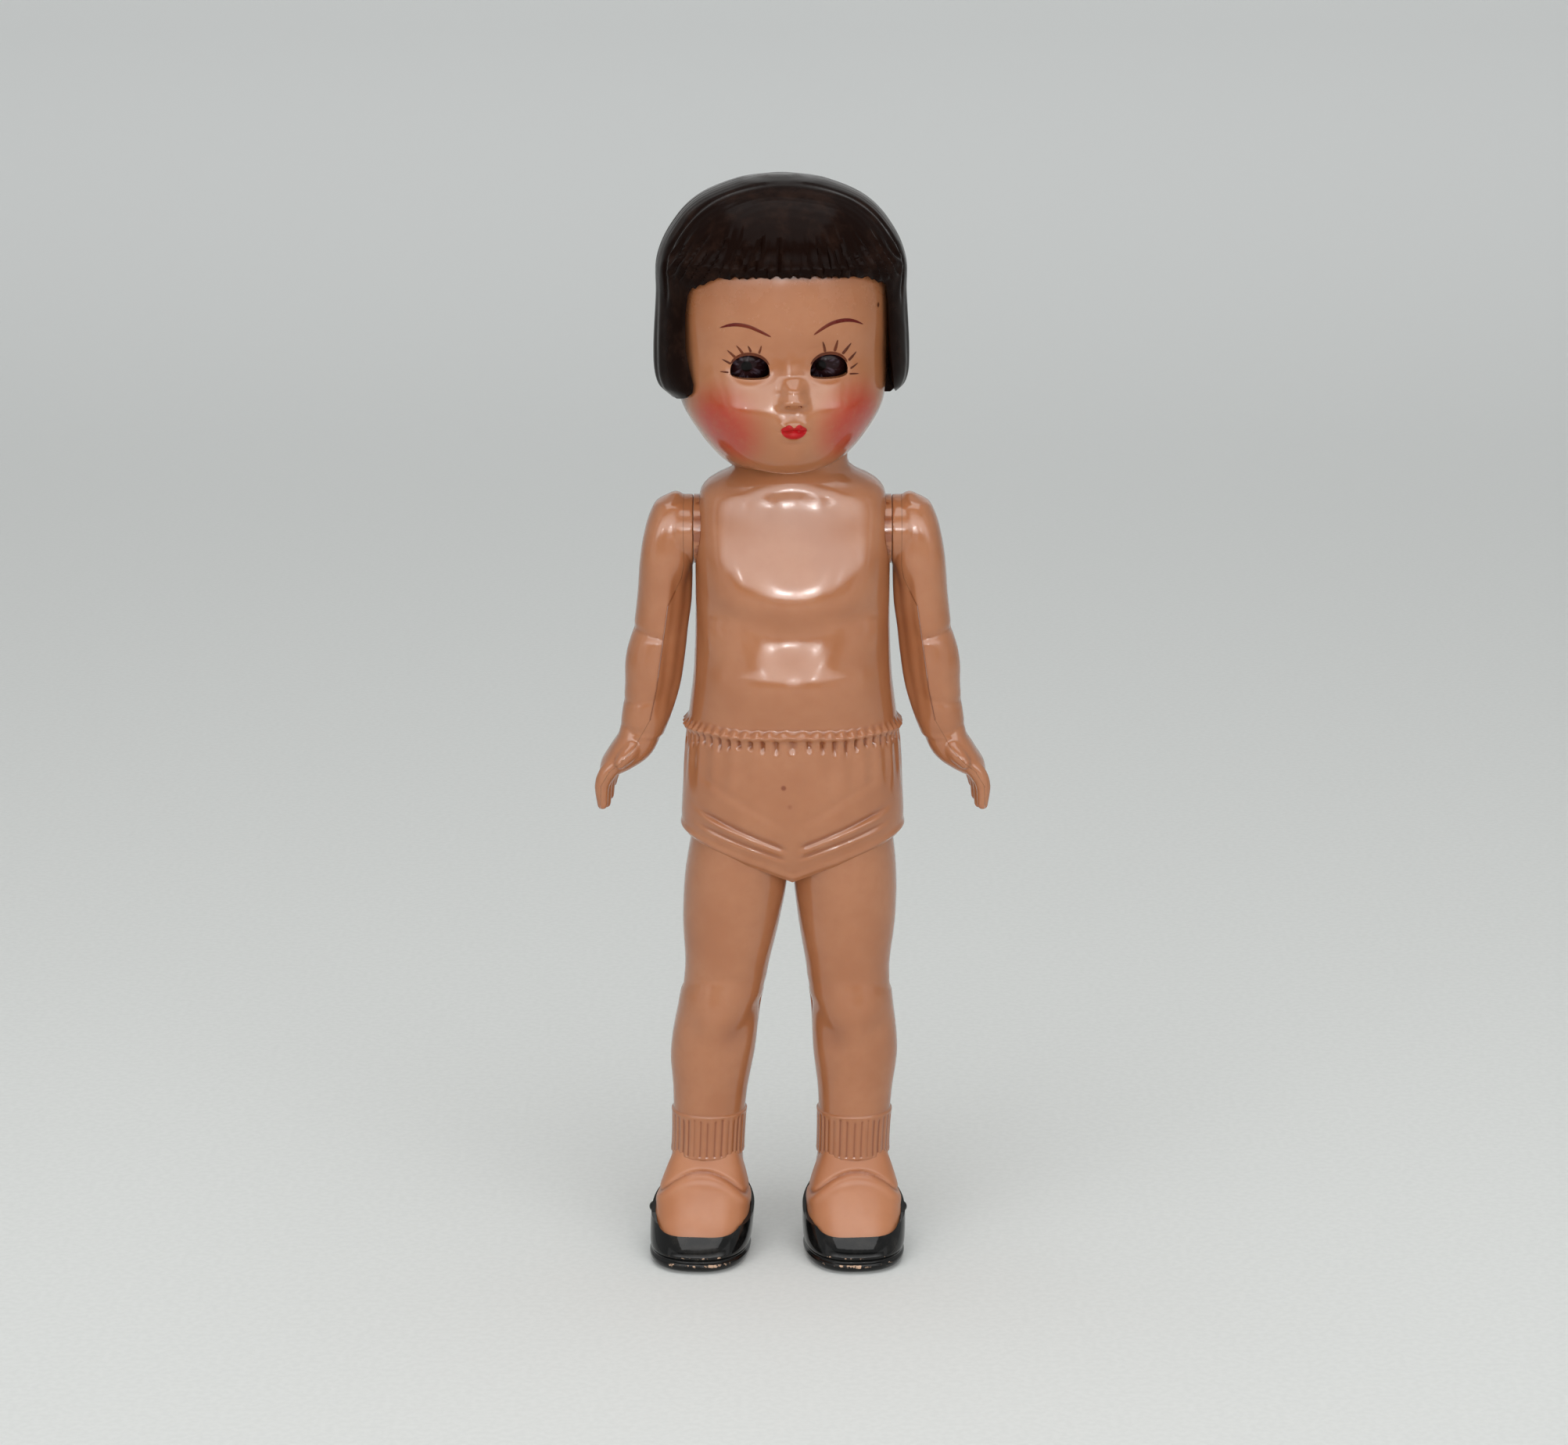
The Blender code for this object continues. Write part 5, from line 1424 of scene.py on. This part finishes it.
def stage_floor():
    """A pale sweep: floor, cove and wall in one sheet."""
    deselect()
    bpy.ops.mesh.primitive_plane_add(size=1.0)
    sheet = bpy.context.object
    sheet.name = "stage_sweep"
    bpy.ops.object.mode_set(mode="EDIT")
    bpy.ops.mesh.subdivide(number_cuts=63)
    bpy.ops.object.mode_set(mode="OBJECT")
    spots = positions(sheet.data)
    along = SWEEP_SIZE * spots[:, 1]
    cove, radius = 0.75, 0.9
    turn = np.clip((along - cove) / radius, 0.0, math.pi / 2)
    over = np.maximum(along - cove - radius * math.pi / 2, 0.0)
    y = np.minimum(along, cove) + radius * np.sin(turn)
    z = radius * (1.0 - np.cos(turn)) + over
    place_points(sheet, np.stack([SWEEP_SIZE * spots[:, 0], y, z], axis=-1))
    make_active(sheet)
    bpy.ops.object.shade_smooth()
    material, tree, shader = new_material("pale_card")
    place = object_place(tree)
    depth = axes(tree, place)[1]
    grain = noise(tree, place, 900.0, 2.0)
    color = mix(tree, ramp(tree, grain, 0.3, 0.7), (0.715, 0.733, 0.716), (0.745, 0.763, 0.746))
    # Painted shade: the sweep's colour darkens towards the back, as the light falls off there.
    far = ramp(tree, depth, 0.0, 1.1)
    color = mix(tree, far, color, (0.55, 0.565, 0.56))
    glow = times(tree, seen_rays(tree), ramp(tree, depth, 0.0, 1.4, 0.05, 0.6))
    values = {
        "Base Color": color,
        "Roughness": 0.85,
        "Specular IOR Level": 0.15,
        "Emission Color": color,
        "Emission Strength": glow,
    }
    feed_all(tree, shader, values)
    sheet.data.materials.append(material)


def stage_room(scene):
    """A dim pale room that looks brighter than it shines."""
    world = bpy.data.worlds.new("soft_room")
    world.use_nodes = True
    tree = world.node_tree
    back = tree.nodes["Background"]
    back.inputs[0].default_value = (0.98, 1.0, 0.99, 1.0)
    tree.links.new(ramp(tree, seen_rays(tree), 0.0, 1.0, 0.11, 0.5), back.inputs[1])
    scene.world = world


def stage_card():
    """A bright card before the doll that fades towards its edges, as a lit wall does."""
    deselect()
    bpy.ops.mesh.primitive_plane_add(size=1.0)
    card = bpy.context.object
    card.name = "stage_card"
    spots = positions(card.data)
    y = np.full(len(spots), CARD_PLACE)
    place_points(card, np.stack([CARD_WIDTH * spots[:, 0], y, CARD_MIDDLE + spots[:, 1]], axis=-1))
    material, tree, shader = new_material("lit_card")
    tree.nodes.remove(shader)
    place = object_place(tree)
    across, _, height = axes(tree, place)
    wide = ramp(tree, maths(tree, "ABSOLUTE", across), 0.5, 1.9, 1.0, 0.0)
    low = ramp(tree, height, 0.15, 0.27)
    high = ramp(tree, height, 0.35, 1.05, 1.0, 0.0)
    bright = times(tree, times(tree, wide, times(tree, low, high)), CARD_STRENGTH)
    glow = add(tree, "ShaderNodeEmission", {"Strength": bright})
    tree.links.new(glow.outputs[0], tree.nodes["Material Output"].inputs[0])
    card.data.materials.append(material)
    card.visible_camera = False


def stage_light(name, place, target, width, height, power):
    deselect()
    bpy.ops.object.light_add(type="AREA", location=place)
    lamp = bpy.context.object
    lamp.name = name
    lamp.data.shape = "RECTANGLE"
    lamp.data.size = width
    lamp.data.size_y = height
    lamp.data.energy = power
    lamp.rotation_euler = look_along(np.array(target) - np.array(place))
    lamp.visible_camera = False


def look_along(way):
    """Turn that points a lamp or camera along a direction, upright."""
    x, y, z = way
    return (math.atan2(math.hypot(x, y), -z), 0.0, math.atan2(-x, y))


def stage_camera():
    away = bpy.context.scene.doll_sizes.camera_distance
    place = (0.0, -away * math.cos(CAMERA_LIFT), CAMERA_AIM + away * math.sin(CAMERA_LIFT))
    deselect()
    bpy.ops.object.camera_add(location=place)
    camera = bpy.context.object
    camera.name = "photo_camera"
    camera.data.sensor_width = 36.0
    camera.data.lens = camera.data.sensor_width * PHOTO_LENS / PHOTO_WIDTH
    camera.data.shift_x = PHOTO_SHIFT / PHOTO_WIDTH
    camera.rotation_euler = look_along((0.0, -place[1], CAMERA_AIM - place[2]))
    bpy.context.scene.camera = camera


# Settings, operators and panel.


class DollSizes(bpy.types.PropertyGroup):
    gathers: bpy.props.IntProperty(
        name="Gathers", description="Gathers round the waistband of the brief", default=54, min=12, max=80
    )
    sock_ribs: bpy.props.IntProperty(
        name="Sock ribs", description="Ribs round each sock cuff", default=34, min=8, max=48
    )
    camera_distance: bpy.props.FloatProperty(
        name="Camera distance",
        description="From the camera to the doll's middle",
        default=0.712,
        unit="LENGTH",
    )


def colour(name, description, default):
    return bpy.props.FloatVectorProperty(
        name=name, description=description, default=default, subtype="COLOR", size=3, min=0.0, max=1.0
    )


class DollColours(bpy.types.PropertyGroup):
    flesh: colour("Flesh", "Bare celluloid", (0.378, 0.151, 0.067))
    # Painted shade in creases and knee dimples, and the dark of the seam and the brief's dots.
    flesh_shade_and_dirt: colour("Flesh crease", "Celluloid in creases and along the seam", (0.2, 0.046, 0.013))
    blush: colour("Blush", "Sprayed cheeks", (0.4, 0.034, 0.012))
    brow: colour("Brow", "Brushed brows and nostrils", (0.1, 0.006, 0.004))
    lash: colour("Lash", "Brushed lashes", (0.09, 0.022, 0.009))
    lip: colour("Lip", "Painted lips", (0.42, 0.004, 0.008))
    hair: colour("Hair", "Hair paint", (0.0075, 0.003, 0.002))
    hair_thin: colour("Thin hair paint", "Hair paint where it is thin", (0.018, 0.008, 0.0052))
    shoe: colour("Shoe", "Shoe paint", (0.004, 0.004, 0.004))
    shoe_thin: colour("Thin shoe paint", "Shoe paint where it is rubbed", (0.02, 0.018, 0.016))
    iris: colour("Iris", "Ground of the eye", (0.014, 0.004, 0.005))
    iris_streak: colour("Iris streak", "Streaks round the pupil", (0.06, 0.043, 0.056))


class DOLL_OT_trunk(bpy.types.Operator):
    """Neck, trunk and brief"""

    bl_idname = "doll.trunk"
    bl_label = "Trunk and brief"

    def execute(self, context):
        settle(build_trunk(), "body", finish("flesh"), SHELLS)
        return {"FINISHED"}


class DOLL_OT_legs(bpy.types.Operator):
    """Legs, ribbed sock cuffs and sock feet"""

    bl_idname = "doll.legs"
    bl_label = "Legs and socks"

    def execute(self, context):
        for side in (-1, 1):
            for build, skin in ((build_leg, "flesh"), (build_cuff, "flesh"), (build_foot, "sock_flesh")):
                settle(build(side), "body", finish(skin), SHELLS)
        return {"FINISHED"}


class DOLL_OT_shoes(bpy.types.Operator):
    """Black shoes with welt and strap button"""

    bl_idname = "doll.shoes"
    bl_label = "Shoes"

    def execute(self, context):
        for side in (-1, 1):
            settle(build_shoe(side), "body", finish("shoe_paint"), SHELLS, 50.0)
        return {"FINISHED"}


class DOLL_OT_head(bpy.types.Operator):
    """Hollow head with its face and eye openings"""

    bl_idname = "doll.head"
    bl_label = "Head"

    def execute(self, context):
        settle(build_head(), "body", finish("face_flesh"), SHELLS)
        return {"FINISHED"}


class DOLL_OT_hair(bpy.types.Operator):
    """Bobbed hair with its fringe"""

    bl_idname = "doll.hair"
    bl_label = "Hair"

    def execute(self, context):
        settle(build_hair(), "body", finish("hair_paint"), SHELLS, 55.0)
        return {"FINISHED"}


def lay_paint(piece, paint):
    settle(piece, "body", finish(paint), ())


class DOLL_OT_face_paint(bpy.types.Operator):
    """Brows, lashes, nostrils and lips"""

    bl_idname = "doll.face_paint"
    bl_label = "Face paint"

    def execute(self, context):
        for side, (line, widths) in BROWS.items():
            lay_paint(paint_strip(f"{side}_brow", line, widths), "brow_paint")
        for side, strokes in LASHES.items():
            for n, (root, tip, width) in enumerate(strokes):
                tip = tuple(a + LASH_REACH * (b - a) for a, b in zip(root, tip))
                half_way = ((root[0] + tip[0]) / 2 + 0.04, (root[1] + tip[1]) / 2)
                widths = (1.5 * width, 1.3 * width, 0.5 * width)
                lay_paint(paint_strip(f"{side}_lash_{n + 1}", (root, half_way, tip), widths), "lash_paint")
        for side, sign in (("right", -1), ("left", 1)):
            upper = [(x, z) for x, z in eye_outline(sign, 0.14) if z > 28.9][1:-1]
            widths = 0.2 + 0.3 * np.sin(np.linspace(0.3, math.pi - 0.3, len(upper)))
            lay_paint(paint_strip(f"{side}_lash_line", upper, widths, 0.04), "lash_paint")
        for side, x in (("right", -0.33), ("left", 1.55)):
            line = ((x - 0.3, 22.9), (x, 23.0), (x + 0.3, 22.9))
            lay_paint(paint_strip(f"{side}_nostril", line, (0.3, 0.4, 0.3), 0.04), "brow_paint")
        lay_paint(lip_patch("lips"), "lip_paint")
        return {"FINISHED"}


class DOLL_OT_eyes(bpy.types.Operator):
    """Sleeping eyes on their axle"""

    bl_idname = "doll.eyes"
    bl_label = "Eyes"

    def execute(self, context):
        for side, name in ((-1, "right_eye"), (1, "left_eye")):
            settle(build_eye(side), "eyes", finish(f"{name}_paint"), (name,))
        return {"FINISHED"}


class DOLL_OT_arms(bpy.types.Operator):
    """Four arm halves with hands"""

    bl_idname = "doll.arms"
    bl_label = "Arms"

    def execute(self, context):
        outer, inner = part_arm(build_arm())
        for piece, half in ((outer, "outer"), (inner, "inner")):
            other = mirrored(piece, f"right_arm_{half}_skin")
            for made, arm in ((other, "right_arm"), (piece, "left_arm")):
                node = f"{arm}_{half}"
                settle(made, arm, finish("flesh"), (node,), line=PARTING[3:8])
        return {"FINISHED"}


class DOLL_OT_works(bpy.types.Operator):
    """Finishes of the elastic, the eye axle and its weight"""

    bl_idname = "doll.works"
    bl_label = "Inside works"

    def execute(self, context):
        for node, name in (("arm_elastic", "elastic_cord"), ("eye_axle", "drawn_wire"), ("eye_weight", "cast_lead")):
            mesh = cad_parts[node].data
            mesh.materials.clear()
            mesh.materials.append(finish(name))
        return {"FINISHED"}


class DOLL_OT_stage(bpy.types.Operator):
    """Pale sweep, soft lights and the camera"""

    bl_idname = "doll.stage"
    bl_label = "Stage"

    def execute(self, context):
        scene = context.scene
        scene.view_settings.view_transform = "Standard"
        stage_room(scene)
        stage_floor()
        stage_light("top_softbox", (0.0, -0.1, 0.9), (0.0, 0.0, 0.08), 0.9, 0.9, 5.3)
        stage_card()
        stage_light("low_window", (0.0, -1.0, 0.17), (0.0, 0.0, 0.11), 0.14, 0.16, 0.4)
        for x, width, power in ((0.01, 0.022, 0.1), (-0.24, 0.016, 0.04), (0.17, 0.016, 0.04)):
            stage_light("small_lamp", (x, -0.62, 0.215), (0.0, 0.0, 0.1), width, width, power)
        stage_light("left_window", (-0.82, -0.6, 0.3), (0.0, 0.0, 0.09), 0.7, 0.8, 0.8)
        stage_light("right_window", (0.82, -0.6, 0.3), (0.0, 0.0, 0.09), 0.7, 0.8, 0.8)
        stage_light("back_window", (0.0, 1.0, 0.5), (0.0, 0.0, 0.1), 1.2, 0.6, 0.6)
        stage_camera()
        return {"FINISHED"}


OPERATORS = (
    DOLL_OT_trunk,
    DOLL_OT_legs,
    DOLL_OT_shoes,
    DOLL_OT_head,
    DOLL_OT_hair,
    DOLL_OT_face_paint,
    DOLL_OT_eyes,
    DOLL_OT_arms,
    DOLL_OT_works,
    DOLL_OT_stage,
)


class DOLL_PT_panel(bpy.types.Panel):
    bl_idname = "DOLL_PT_panel"
    bl_label = "Celluloid doll"
    bl_space_type = "VIEW_3D"
    bl_region_type = "UI"
    bl_category = "Doll"

    def draw(self, context):
        layout = self.layout
        for group in (context.scene.doll_sizes, context.scene.doll_colours):
            for key in group.__annotations__:
                layout.prop(group, key)
        for operator in OPERATORS:
            layout.operator(operator.bl_idname)


CLASSES = (DollSizes, DollColours, *OPERATORS, DOLL_PT_panel)


def register():
    for made in CLASSES:
        bpy.utils.register_class(made)
    bpy.types.Scene.doll_sizes = bpy.props.PointerProperty(type=DollSizes)
    bpy.types.Scene.doll_colours = bpy.props.PointerProperty(type=DollColours)


def unregister():
    del bpy.types.Scene.doll_colours
    del bpy.types.Scene.doll_sizes
    for made in reversed(CLASSES):
        bpy.utils.unregister_class(made)


def main():
    register()
    bpy.ops.doll.trunk()
    bpy.ops.doll.legs()
    bpy.ops.doll.shoes()
    bpy.ops.doll.head()
    bpy.ops.doll.hair()
    bpy.ops.doll.face_paint()
    bpy.ops.doll.eyes()
    bpy.ops.doll.arms()
    bpy.ops.doll.works()
    bpy.ops.doll.stage()


if __name__ == "__main__":
    main()
